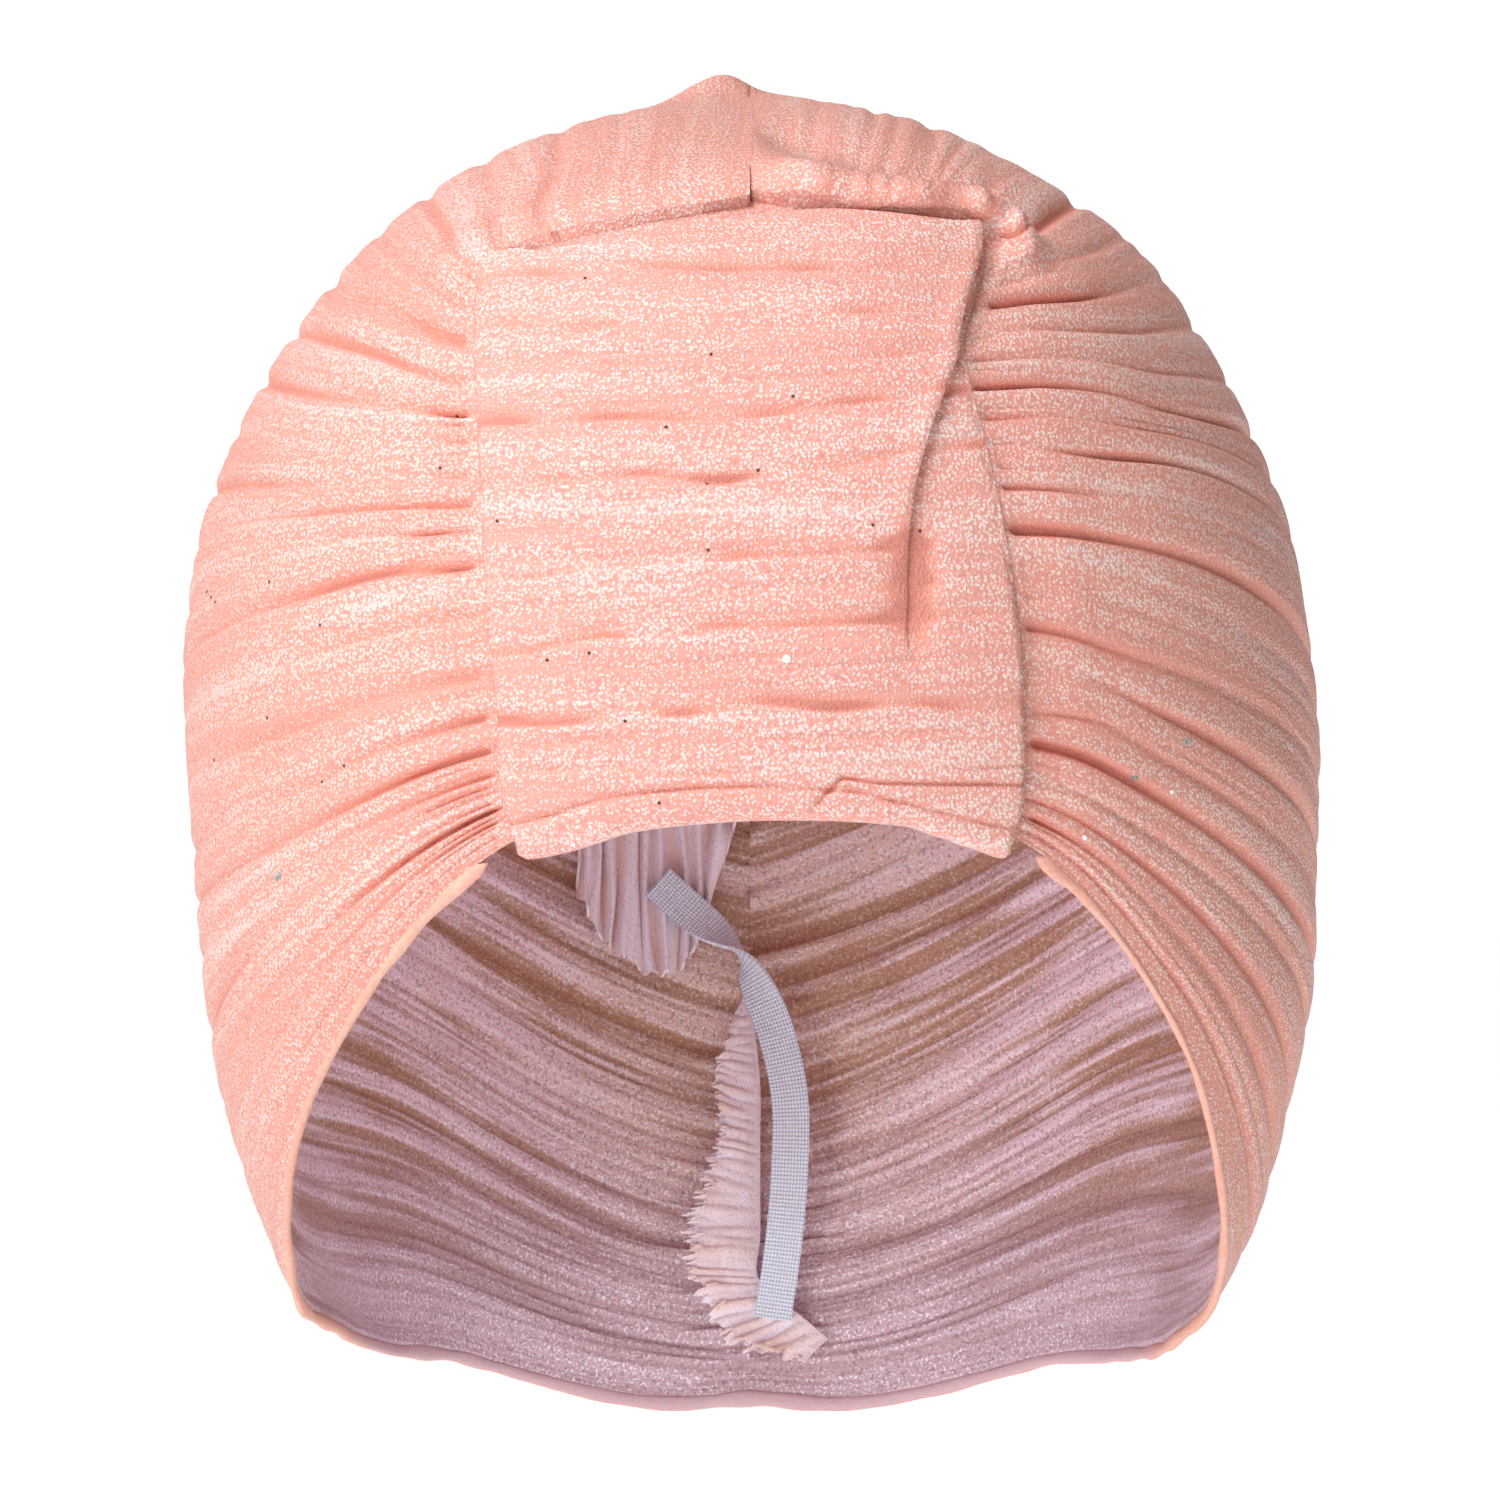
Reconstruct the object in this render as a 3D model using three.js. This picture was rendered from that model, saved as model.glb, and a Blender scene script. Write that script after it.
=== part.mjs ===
// Pleated turban hat in its worn form. Millimetres, +Z up, the face opening looks along -Y and +X is the
// viewer's right. The origin is the middle of the head hollow. Every point of the cloth is found along a
// ray from the origin: the form gives how far out the cloth lies, the pleats, lip and folds add to it.
import * as THREE from "three";

const WIDTH = 200; // over the cloth, side to side
const PEAK = 114; // top of the crown over the origin, without the small point on it
const FRONT = 108; // forehead before the origin
const BACK = 116; // fullest part of the back behind the origin
const CLOTH = 1.4; // wall of the crown
const GAP = 0.5; // room between two cloth layers
const RIBS = 24; // main pleats from the top ridge down to the rim, each side
const CREST = 1.0; // how far a pleat stands out of the form
const LIP = 2.6; // how far the crown puffs out over the top edge of the band
const BAND_OUT = 2.6; // outer face of the band's top layer over the form
const BAND_UNDER = 1.6; // outer face of the layer under its diagonal fold
const TURN_IN = 9; // band cloth turned up inside the rim
const HEM_WIDE = 2.4; // rolled edge of the rim
const TAPE_WIDE = 7; // elastic tape
const TAPE_THICK = 1.0;
const TAPE_DEEP = 16; // deepest the tape lies inside the form
const FRILL_THICK = 1.0;
const FRILL_TOP = 7.2; // how deep inside the form the top frill starts
const FRILL_DEEP = 9.4; // how deep its low edge hangs
const SEAM_DEEP = 7.6; // how deep the back seam's stitching lies
const RUFFLE_DEEP = 9.5; // how deep the seam's free edge lies
const FOLD_LAP = 2.2; // least the band's lower layer shows beyond its fold
const POINT_HIGH = 3.4; // the small point on the top
const POINT_WIDE = 5;

const HALF = WIDTH / 2;
const rad = (d) => (d * Math.PI) / 180;
const lerp = (a, b, f) => a + (b - a) * f;
const clamp = (x, lo, hi) => Math.min(hi, Math.max(lo, x));
const ease = (x) => {
  const c = clamp(x, 0, 1);
  return c * c * (3 - 2 * c);
};
const bell = (x, w) => Math.exp(-(x * x) / (w * w));

// A smooth curve through the rows of a table, from column key to column value, each times its own size.
function curve(rows, key, value, keySize = 1, valueSize = 1) {
  const pts = rows.map((r) => [r[key] * keySize, r[value] * valueSize]).sort((p, q) => p[0] - q[0]);
  const n = pts.length;
  const slope = pts.map((p, i) => {
    const a = pts[Math.max(0, i - 1)],
      b = pts[Math.min(n - 1, i + 1)];
    return (b[1] - a[1]) / (b[0] - a[0]);
  });
  return (x) => {
    if (x <= pts[0][0]) return pts[0][1];
    if (x >= pts[n - 1][0]) return pts[n - 1][1];
    let i = 0;
    while (pts[i + 1][0] < x) i++;
    const h = pts[i + 1][0] - pts[i][0],
      f = (x - pts[i][0]) / h;
    const f2 = f * f,
      f3 = f2 * f;
    return (
      (2 * f3 - 3 * f2 + 1) * pts[i][1] +
      (f3 - 2 * f2 + f) * h * slope[i] +
      (3 * f2 - 2 * f3) * pts[i + 1][1] +
      (f3 - f2) * h * slope[i + 1]
    );
  };
}

// The four outlines of the form. up: height as a share of PEAK; left, right: shares of HALF; front, back:
// shares of FRONT and BACK.
const OUTLINE = [
  { up: 1.0, left: 0, right: 0, front: 0, back: 0 },
  { up: 0.965, left: 0.16, right: 0.16, front: 0.26, back: 0.34 },
  { up: 0.91, left: 0.345, right: 0.35, front: 0.46, back: 0.54 },
  { up: 0.85, left: 0.495, right: 0.485, front: 0.6, back: 0.66 },
  { up: 0.73, left: 0.69, right: 0.685, front: 0.765, back: 0.79 },
  { up: 0.6, left: 0.81, right: 0.79, front: 0.87, back: 0.865 },
  { up: 0.48, left: 0.885, right: 0.865, front: 0.92, back: 0.915 },
  { up: 0.35, left: 0.945, right: 0.93, front: 0.96, back: 0.95 },
  { up: 0.18, left: 0.975, right: 0.965, front: 0.985, back: 0.98 },
  { up: 0.0, left: 0.975, right: 0.985, front: 1.0, back: 1.0 },
  { up: -0.18, left: 0.965, right: 0.98, front: 1.0, back: 1.0 },
  { up: -0.35, left: 0.945, right: 0.975, front: 0.985, back: 0.985 },
  { up: -0.53, left: 0.915, right: 0.935, front: 0.95, back: 0.965 },
  { up: -0.7, left: 0.855, right: 0.885, front: 0.9, back: 0.935 },
  { up: -0.82, left: 0.8, right: 0.825, front: 0.85, back: 0.91 },
  { up: -0.9, left: 0.73, right: 0.76, front: 0.8, back: 0.89 },
  { up: -1.1, left: 0.6, right: 0.63, front: 0.7, back: 0.855 },
];
// The same outlines as distance from the origin over the angle above the horizon.
const REACH = Object.fromEntries(
  [["left", HALF], ["right", HALF], ["front", FRONT], ["back", BACK]].map(([key, size]) => [
    key,
    curve(
      OUTLINE.map((r) => ({
        angle: Math.atan2(r.up * PEAK, r[key] * size),
        reach: Math.hypot(r.up * PEAK, r[key] * size),
      })),
      "angle",
      "reach",
    ),
  ]),
);

// How far out the form lies along the ray through p.
function formReach(p) {
  const flat = Math.hypot(p.x, p.y) || 1e-9,
    angle = Math.atan2(p.z, flat);
  const n = 2 + 0.35 * Math.cos(angle);
  const fb = (p.y < 0 ? REACH.front : REACH.back)(angle),
    side = (p.x < 0 ? REACH.left : REACH.right)(angle);
  return Math.pow(
    Math.pow(Math.abs(p.y) / flat / fb, n) + Math.pow(Math.abs(p.x) / flat / side, n),
    -1 / n,
  );
}
// The point over the form along the ray through p, off millimetres further out.
function onForm(p, off = 0) {
  return p.clone().setLength(formReach(p) + off);
}
// The point of the form at a given x and z, on its front (-1) or back (+1).
function formAt(x, z, face) {
  let lo = 0,
    hi = 1.5 * Math.max(FRONT, BACK);
  for (let i = 0; i < 30; i++) {
    const mid = (lo + hi) / 2,
      p = new THREE.Vector3(x, face * mid, z);
    if (p.length() < formReach(p)) lo = mid;
    else hi = mid;
  }
  return new THREE.Vector3(x, face * lo, z);
}

// Where the pleats run. share: from the top ridge (0) to the rim (1). middle: height at the front centre
// line; seam: degrees above the horizon where it reaches the back seam. Here and below, every x is a share
// of HALF and every height a share of PEAK.
const RUN = [
  { share: 0.0, middle: 0.781, seam: 52 },
  { share: 0.08, middle: 0.763, seam: 42 },
  { share: 0.16, middle: 0.728, seam: 33 },
  { share: 0.22, middle: 0.684, seam: 27 },
  { share: 0.28, middle: 0.632, seam: 20 },
  { share: 0.333, middle: 0.553, seam: 13 },
  { share: 0.417, middle: 0.474, seam: 2 },
  { share: 0.5, middle: 0.377, seam: -9 },
  { share: 0.583, middle: 0.263, seam: -20 },
  { share: 0.667, middle: 0.132, seam: -30 },
  { share: 0.75, middle: 0.035, seam: -38 },
  { share: 0.833, middle: -0.026, seam: -43.5 },
  { share: 0.917, middle: -0.044, seam: -48 },
  { share: 1.0, middle: -0.06, seam: -51.6 },
];
// Where a pleat leaves the band, and where it passes the temple, on the viewer's left and right.
const LEFT_RUN = [
  { share: 0.0, edgeX: 0, edgeZ: 0.789, templeX: 0, templeZ: 0.912 },
  { share: 0.08, edgeX: -0.21, edgeZ: 0.759, templeX: -0.21, templeZ: 0.868 },
  { share: 0.16, edgeX: -0.38, edgeZ: 0.724, templeX: -0.4, templeZ: 0.807 },
  { share: 0.22, edgeX: -0.46, edgeZ: 0.68, templeX: -0.51, templeZ: 0.746 },
  { share: 0.28, edgeX: -0.464, edgeZ: 0.605, templeX: -0.6, templeZ: 0.667 },
  { share: 0.333, edgeX: -0.46, edgeZ: 0.526, templeX: -0.65, templeZ: 0.579 },
  { share: 0.417, edgeX: -0.454, edgeZ: 0.439, templeX: -0.7, templeZ: 0.439 },
  { share: 0.5, edgeX: -0.448, edgeZ: 0.351, templeX: -0.71, templeZ: 0.333 },
  { share: 0.583, edgeX: -0.44, edgeZ: 0.263, templeX: -0.71, templeZ: 0.219 },
  { share: 0.667, edgeX: -0.428, edgeZ: 0.11, templeX: -0.71, templeZ: 0.035 },
  { share: 0.75, edgeX: -0.416, edgeZ: 0, templeX: -0.71, templeZ: -0.096 },
  { share: 0.833, edgeX: -0.41, edgeZ: -0.061, templeX: -0.71, templeZ: -0.219 },
  { share: 0.917, edgeX: -0.402, edgeZ: -0.102, templeX: -0.71, templeZ: -0.342 },
  { share: 1.0, edgeX: -0.386, edgeZ: -0.131, templeX: -0.71, templeZ: -0.465 },
];
const RIGHT_RUN = [
  { share: 0.0, edgeX: 0, edgeZ: 0.798, templeX: 0, templeZ: 0.912 },
  { share: 0.08, edgeX: 0.17, edgeZ: 0.772, templeX: 0.19, templeZ: 0.877 },
  { share: 0.16, edgeX: 0.345, edgeZ: 0.767, templeX: 0.38, templeZ: 0.825 },
  { share: 0.22, edgeX: 0.416, edgeZ: 0.728, templeX: 0.5, templeZ: 0.763 },
  { share: 0.28, edgeX: 0.402, edgeZ: 0.658, templeX: 0.58, templeZ: 0.684 },
  { share: 0.333, edgeX: 0.36, edgeZ: 0.596, templeX: 0.63, templeZ: 0.605 },
  { share: 0.417, edgeX: 0.362, edgeZ: 0.518, templeX: 0.67, templeZ: 0.5 },
  { share: 0.5, edgeX: 0.39, edgeZ: 0.43, templeX: 0.675, templeZ: 0.421 },
  { share: 0.583, edgeX: 0.422, edgeZ: 0.316, templeX: 0.675, templeZ: 0.272 },
  { share: 0.667, edgeX: 0.445, edgeZ: 0.175, templeX: 0.675, templeZ: 0.123 },
  { share: 0.75, edgeX: 0.452, edgeZ: 0.061, templeX: 0.675, templeZ: -0.009 },
  { share: 0.833, edgeX: 0.454, edgeZ: -0.035, templeX: 0.675, templeZ: -0.132 },
  { share: 0.917, edgeX: 0.45, edgeZ: -0.096, templeX: 0.68, templeZ: -0.254 },
  { share: 1.0, edgeX: 0.432, edgeZ: -0.126, templeX: 0.7, templeZ: -0.395 },
];
const run = { middle: curve(RUN, "share", "middle", 1, PEAK), seam: curve(RUN, "share", "seam") };
const sideRun = (rows) => ({
  edgeX: curve(rows, "share", "edgeX", 1, HALF),
  edgeZ: curve(rows, "share", "edgeZ", 1, PEAK),
  templeX: curve(rows, "share", "templeX", 1, HALF),
  templeZ: curve(rows, "share", "templeZ", 1, PEAK),
});
const leftRun = sideRun(LEFT_RUN),
  rightRun = sideRun(RIGHT_RUN);
const TOP_TO_RIM = 142; // degrees round the side, from straight up to the rim

// The stations of a pleat on one side (-1 left, +1 right): before the middle, middle, band edge, temple,
// side, back quarter, seam, beyond the seam.
function stations(share, side) {
  const p0 = formAt(0, run.middle(share), -1);
  const own = side < 0 ? leftRun : rightRun;
  const p1 = formAt(own.edgeX(share), own.edgeZ(share), -1);
  const pt = formAt(own.templeX(share), own.templeZ(share), -1);
  const turn = rad(TOP_TO_RIM * share);
  const p2 = onForm(new THREE.Vector3(side * Math.sin(turn), -0.02 - 0.1 * share, Math.cos(turn)));
  const elev = rad(run.seam(share));
  const p4 = onForm(new THREE.Vector3(0, Math.cos(elev), Math.sin(elev)));
  const p3 = formAt(p2.x * lerp(0.8, 0.72, share), lerp(p2.z, p4.z, lerp(0.5, 0.56, share)), 1);
  const flip = (p) => new THREE.Vector3(-p.x, p.y, p.z);
  return [flip(p1), p0, p1, pt, p2, p3, p4, flip(p3)];
}
const SEAM = 5;
const known = new Map();
// The direction of the cloth at a share between ridge and rim and a station s from 0 to SEAM.
function pleatRay(share, side, s) {
  const key = share.toFixed(5) + side;
  if (!known.has(key)) known.set(key, stations(share, side));
  const P = known.get(key);
  const i = Math.min(SEAM - 1, Math.floor(s)) + 1,
    f = s - (i - 1);
  // a pace of less than the full distance keeps a pleat from swinging past a station
  const pace = (k) => Math.pow(P[k + 1].distanceTo(P[k]), 0.6);
  const h = pace(i);
  const m = (k) => {
    const [before, after] = [pace(k - 1), pace(k)];
    const into = P[k].clone().sub(P[k - 1]).divideScalar(before),
      away = P[k + 1].clone().sub(P[k]).divideScalar(after);
    const through = P[k + 1].clone().sub(P[k - 1]).divideScalar(before + after);
    return into.add(away).sub(through).multiplyScalar(h);
  };
  const f2 = f * f,
    f3 = f2 * f;
  return new THREE.Vector3()
    .addScaledVector(P[i], 2 * f3 - 3 * f2 + 1)
    .addScaledVector(m(i), f3 - 2 * f2 + f)
    .addScaledVector(P[i + 1], 3 * f2 - 2 * f3)
    .addScaledVector(m(i + 1), f3 - f2);
}

// How deep the valley under each main pleat is, as a share of the deepest. pleat: counted from the ridge.
const VALLEYS = [
  { pleat: 0, left: 0.2, right: 0.3 },
  { pleat: 2, left: 0.25, right: 0.6 },
  { pleat: 4, left: 0.6, right: 0.8 },
  { pleat: 6, left: 0.55, right: 0.7 },
  { pleat: 8, left: 1.0, right: 0.6 },
  { pleat: 10, left: 0.4, right: 1.0 },
  { pleat: 11, left: 0.75, right: 0.5 },
  { pleat: 12, left: 0.6, right: 0.7 },
  { pleat: 14, left: 0.75, right: 0.9 },
  { pleat: 15, left: 0.55, right: 0.75 },
  { pleat: 16, left: 0.7, right: 0.55 },
  { pleat: 18, left: 0.9, right: 0.7 },
  { pleat: 19, left: 0.6, right: 0.95 },
  { pleat: 21, left: 1.0, right: 1.0 },
  { pleat: 22, left: 0.6, right: 0.9 },
  { pleat: 24, left: 0.3, right: 0.3 },
];
const DEEPEST = 2.4;
const valley = { "-1": curve(VALLEYS, "pleat", "left"), 1: curve(VALLEYS, "pleat", "right") };

// How far the crown's outer face stands off the form.
function crownOff(share, side, s) {
  const top = 1 - ease((share - 0.2) / 0.07); // 1 along the band's top edge, 0 along its sides
  const low = (1 + Math.cos(2 * Math.PI * RIBS * share)) / 2; // 1 in a valley, 0 on a crest
  const depth = DEEPEST * valley[side](share * RIBS);
  const ridge = ease(share * RIBS * 0.5); // both sides agree at the ridge
  if (s < 0.99) return -0.1 * low * ridge;
  const out = ease((s - 0.99) / 0.4); // the gathers rise from the band's edge
  const spread = 1 - 0.3 * ease((s - 1.6) / 1.6) + 0.4 * ease((s - 4.2) / 0.8);
  const body = lerp(0.1, CREST, out) - depth * low * spread * lerp(0.35, 1, out) * ridge;
  const rightRoll = 1.25 * bell(s - 1.25, 0.32) - 0.6 * bell(s - 1.85, 0.25);
  const roll = side > 0 ? rightRoll : 0.75 * bell(s - 1.3, 0.6);
  const lip = LIP * roll * top; // rolled forward over the band on the viewer's right
  const drawn = -3.0 * bell(s - SEAM, 0.22) * ease((share - 0.1) / 0.3); // the seam sits in a groove
  const edge = lerp(1, 0.25, ease((share - 0.93) / 0.07)); // calmer beside the hem
  return body * edge + lip + drawn;
}
// Two small points where the gathers meet on the top.
const POINTS = [
  { x: -0.042, y: -0.093, high: 1 },
  { x: -0.1, y: -0.13, high: 0.53 },
];
function peakOff(p) {
  if (p.z < 0) return 0;
  const away = (q) => Math.hypot(p.x - q.x * HALF, p.y - q.y * FRONT);
  return POINTS.reduce((h, q) => h + q.high * POINT_HIGH * bell(away(q), POINT_WIDE), 0);
}
function crownPoint(share, side, s, inward) {
  const ray = pleatRay(share, side, s);
  const base = onForm(ray);
  return onForm(ray, crownOff(share, side, s) + peakOff(base) - inward);
}

// A closed solid from a grid of vertices per wall: rows x columns, outer wall first, inner wall second.
function solid(name, vertices, faces, look) {
  const corner = ([a, b, c]) => vertices[a].dot(vertices[b].clone().cross(vertices[c]));
  const volume = faces.reduce((v, f) => v + corner(f), 0);
  if (volume < 0) faces.forEach((f) => f.reverse()); // a sheet laid the other way round still faces out
  const g = new THREE.BufferGeometry();
  g.setAttribute("position", new THREE.Float32BufferAttribute(vertices.flatMap((p) => [p.x, p.y, p.z]), 3));
  g.setIndex(faces.flat());
  g.computeVertexNormals();
  const mesh = new THREE.Mesh(g, new THREE.MeshStandardMaterial({ metalness: 0, ...look }));
  mesh.name = name;
  return mesh;
}
const quad = (faces, a, b, c, d) => faces.push([a, b, c], [a, c, d]);

// A sheet of cloth with two walls and four edges; face(i, j, wall) gives a vertex, wall 0 out, wall 1 in.
function sheet(name, rows, cols, face, look) {
  const vertices = [],
    faces = [];
  for (const wall of [0, 1])
    for (let i = 0; i <= rows; i++) for (let j = 0; j <= cols; j++) vertices.push(face(i, j, wall));
  const at = (i, j, wall) => (wall * (rows + 1) + i) * (cols + 1) + j;
  for (let i = 0; i < rows; i++)
    for (let j = 0; j < cols; j++) {
      quad(faces, at(i, j, 0), at(i + 1, j, 0), at(i + 1, j + 1, 0), at(i, j + 1, 0));
      quad(faces, at(i, j, 1), at(i, j + 1, 1), at(i + 1, j + 1, 1), at(i + 1, j, 1));
    }
  for (let j = 0; j < cols; j++) {
    quad(faces, at(0, j, 0), at(0, j + 1, 0), at(0, j + 1, 1), at(0, j, 1));
    quad(faces, at(rows, j, 0), at(rows, j, 1), at(rows, j + 1, 1), at(rows, j + 1, 0));
  }
  for (let i = 0; i < rows; i++) {
    quad(faces, at(i, 0, 0), at(i, 0, 1), at(i + 1, 0, 1), at(i + 1, 0, 0));
    quad(faces, at(i, cols, 0), at(i + 1, cols, 0), at(i + 1, cols, 1), at(i, cols, 1));
  }
  return solid(name, vertices, faces, look);
}
// The same from one middle surface mid(i, j) and a thickness across it.
function leaf(name, rows, cols, mid, thick, look) {
  const P = (i, j) => mid(clamp(i, 0, rows), clamp(j, 0, cols));
  return sheet(
    name,
    rows,
    cols,
    (i, j, wall) => {
      const down = P(i + 1, j).sub(P(i - 1, j)),
        over = P(i, j + 1).sub(P(i, j - 1));
      const n = down.cross(over).normalize();
      return mid(i, j).addScaledVector(n, (wall ? -0.5 : 0.5) * thick);
    },
    look,
  );
}

const PEACH = { color: 0xf4bfae, roughness: 0.6 };
const PEACH_BAND = { color: 0xf2b9a6, roughness: 0.6 };
const PEACH_HEM = { color: 0xefae98, roughness: 0.6 };
const LILAC = { color: 0xd9b4be, roughness: 0.6 };
const TAPE = { color: 0xc9bfe6, roughness: 0.7 };

// Crown: loops from the ridge down to the rim, each from the front round the right, back and left.
const STOPS = [
  0, 0.4, 0.8, 0.97, 1.03, 1.25, 1.55, 1.85, 2.1, 2.4, 2.7, 3, 3.25, 3.5, 3.75, 4, 4.35, 4.65, 4.88, 5,
];
function makeCrown() {
  const rows = 2 * RIBS,
    half = STOPS.length - 1,
    cols = 2 * half;
  const vertices = [],
    faces = [];
  for (const inward of [0, CLOTH])
    for (let i = 0; i <= rows; i++)
      for (let j = 0; j < cols; j++) {
        const side = j <= half ? 1 : -1;
        vertices.push(crownPoint(i / rows, side, STOPS[j <= half ? j : cols - j], inward));
      }
  const at = (i, j, wall) => {
    let k = j % cols;
    if (i === 0 && k > half) k = cols - k; // both sides share the ridge
    return (wall * (rows + 1) + i) * cols + k;
  };
  for (let i = 0; i < rows; i++)
    for (let j = 0; j < cols; j++) {
      const [a, b, c, d] = [at(i, j, 0), at(i + 1, j, 0), at(i + 1, j + 1, 0), at(i, j + 1, 0)];
      quad(faces, a, b, c, d);
      const [e, f, g, h] = [at(i, j, 1), at(i + 1, j, 1), at(i + 1, j + 1, 1), at(i, j + 1, 1)];
      quad(faces, e, h, g, f);
    }
  for (let j = 0; j < cols; j++)
    quad(faces, at(rows, j, 0), at(rows, j, 1), at(rows, j + 1, 1), at(rows, j + 1, 0));
  return solid("crown", vertices, faces, PEACH);
}

// Front band. Edges over the height: left, right (the outermost layer) and fold (the diagonal edge of the
// top layer); its top and bottom edges over x.
const SIDES = [
  { z: 0.789, left: -0.435, right: 0.388, fold: 0.38 },
  { z: 0.711, left: -0.446, right: 0.387, fold: 0.379 },
  { z: 0.667, left: -0.448, right: 0.374, fold: 0.366 },
  { z: 0.579, left: -0.448, right: 0.346, fold: 0.334 },
  { z: 0.526, left: -0.446, right: 0.354, fold: 0.312 },
  { z: 0.439, left: -0.439, right: 0.378, fold: 0.274 },
  { z: 0.333, left: -0.432, right: 0.404, fold: 0.246 },
  { z: 0.184, left: -0.42, right: 0.43, fold: 0.246 },
  { z: 0.061, left: -0.406, right: 0.438, fold: 0.255 },
  { z: -0.07, left: -0.396, right: 0.437, fold: 0.26 },
  { z: -0.14, left: -0.37, right: 0.414, fold: 0.24 },
];
const ENDS = [
  { x: -0.45, top: 0.662, bottom: -0.137 },
  { x: -0.39, top: 0.707, bottom: -0.133 },
  { x: -0.33, top: 0.705, bottom: -0.122 },
  { x: -0.23, top: 0.735, bottom: -0.096 },
  { x: -0.09, top: 0.756, bottom: -0.081 },
  { x: 0.01, top: 0.765, bottom: -0.079 },
  { x: 0.15, top: 0.751, bottom: -0.084 },
  { x: 0.24, top: 0.739, bottom: -0.101 },
  { x: 0.33, top: 0.716, bottom: -0.121 },
  { x: 0.4, top: 0.689, bottom: -0.135 },
];
const edge = {
  left: curve(SIDES, "z", "left", PEAK, HALF),
  right: curve(SIDES, "z", "right", PEAK, HALF),
  fold: curve(SIDES, "z", "fold", PEAK, HALF),
  top: curve(ENDS, "x", "top", HALF, PEAK),
  bottom: curve(ENDS, "x", "bottom", HALF, PEAK),
};
const BAND_ROWS = 22; // down the outside
const TURN_ROWS = 5; // round the rim
const IN_ROWS = 2; // up the inside
const LEFT_COLS = 11; // left of the fold
const RIGHT_COLS = 4; // right of it
function makeBand() {
  const rows = BAND_ROWS + TURN_ROWS + IN_ROWS,
    cols = LEFT_COLS + 1 + RIGHT_COLS;
  const place = (down, j) => {
    const nominal = HALF * lerp(-0.42, 0.4, j / cols);
    const z = lerp(edge.top(nominal), edge.bottom(nominal), down);
    const [l, r] = [edge.left(z), edge.right(z)];
    const fold = Math.min(edge.fold(z), r - FOLD_LAP);
    const x =
      j <= LEFT_COLS
        ? lerp(l, fold, j / LEFT_COLS)
        : lerp(fold + 0.7, r, (j - LEFT_COLS - 1) / RIGHT_COLS);
    return [x, z];
  };
  const face = (i, j, wall) => {
    const down = clamp(i / BAND_ROWS, 0, 1);
    const [x, z] = place(down, j);
    const base = formAt(x, z, -1);
    // where the diagonal fold stands clear of the layer below
    const layered = ease((z / PEAK - 0.16) / 0.19);
    const pleat = 0.3 * Math.cos(Math.PI * i) * ease((1 - down) / 0.1);
    const hem = -0.45 * bell((z - edge.bottom(x) - 3.2) / 1.4, 1);
    const outer = j <= LEFT_COLS ? BAND_OUT : lerp(2.3, BAND_UNDER, layered);
    const thin = lerp(outer, GAP + 1.1, ease((0.06 - down) / 0.06) * 0.7);
    if (i <= BAND_ROWS) return onForm(base, wall ? GAP : thin + (pleat + hem) * (down > 0.04 ? 1 : 0));
    // round the rim and up the inside
    const inWall = -CLOTH - GAP - 0.15,
      mid = (GAP + inWall) / 2;
    const small = (GAP - inWall) / 2,
      big = outer - mid;
    if (i <= BAND_ROWS + TURN_ROWS) {
      const turn = (Math.PI * (i - BAND_ROWS)) / TURN_ROWS;
      const r = wall ? small : lerp(big, small + 1.2, (i - BAND_ROWS) / TURN_ROWS);
      const p = onForm(base, mid + r * Math.cos(turn));
      p.z -= r * Math.sin(turn) * 0.8;
      return p;
    }
    const up = (TURN_IN * (i - BAND_ROWS - TURN_ROWS)) / IN_ROWS;
    const q = formAt(x, z + up, -1);
    return onForm(q, wall ? inWall : inWall - 1.2);
  };
  return sheet("front_band", rows, cols, face, PEACH_BAND);
}

const HEM_FROM = 1.2; // station where the hem comes out from under the band
// Rim hem: a rolled edge under the crown's rim, from one bottom corner of the band round to the other.
function makeHem() {
  const path = STOPS.filter((s) => s >= HEM_FROM); // the crown's own stations, so the facets agree
  const steps = 2 * (path.length - 1),
    ring = 6;
  const vertices = [],
    faces = [];
  for (let i = 0; i <= steps; i++) {
    const side = i < steps / 2 ? -1 : 1,
      s = path[side < 0 ? i : steps - i];
    const off = crownOff(1, side, s);
    const rim = onForm(pleatRay(1, side, s)),
      above = onForm(pleatRay(0.97, side, s));
    const down = rim.clone().sub(above).normalize(),
      out = rim.clone().normalize();
    const middle = rim
      .clone()
      .addScaledVector(out, off - CLOTH / 2)
      .addScaledVector(down, 0.7 + HEM_WIDE / 2);
    for (let k = 0; k < ring; k++) {
      const w = (2 * Math.PI * (k + 0.5)) / ring;
      vertices.push(
        middle
          .clone()
          .addScaledVector(out, 1.15 * Math.cos(w))
          .addScaledVector(down, (HEM_WIDE / 2) * Math.sin(w)),
      );
    }
  }
  const at = (i, k) => i * ring + (k % ring);
  for (let i = 0; i < steps; i++)
    for (let k = 0; k < ring; k++) quad(faces, at(i, k), at(i + 1, k), at(i + 1, k + 1), at(i, k + 1));
  for (let k = 1; k < ring - 1; k++) {
    faces.push([at(0, 0), at(0, k), at(0, k + 1)]);
    faces.push([at(steps, 0), at(steps, k + 1), at(steps, k)]);
  }
  return solid("rim_hem", vertices, faces, PEACH_HEM);
}

// Inside the back: a point at x and z, in millimetres in from the form.
const inside = (x, z, depth) => {
  const p = formAt(x, z, 1);
  return p.multiplyScalar(1 - depth / p.length());
};

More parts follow.
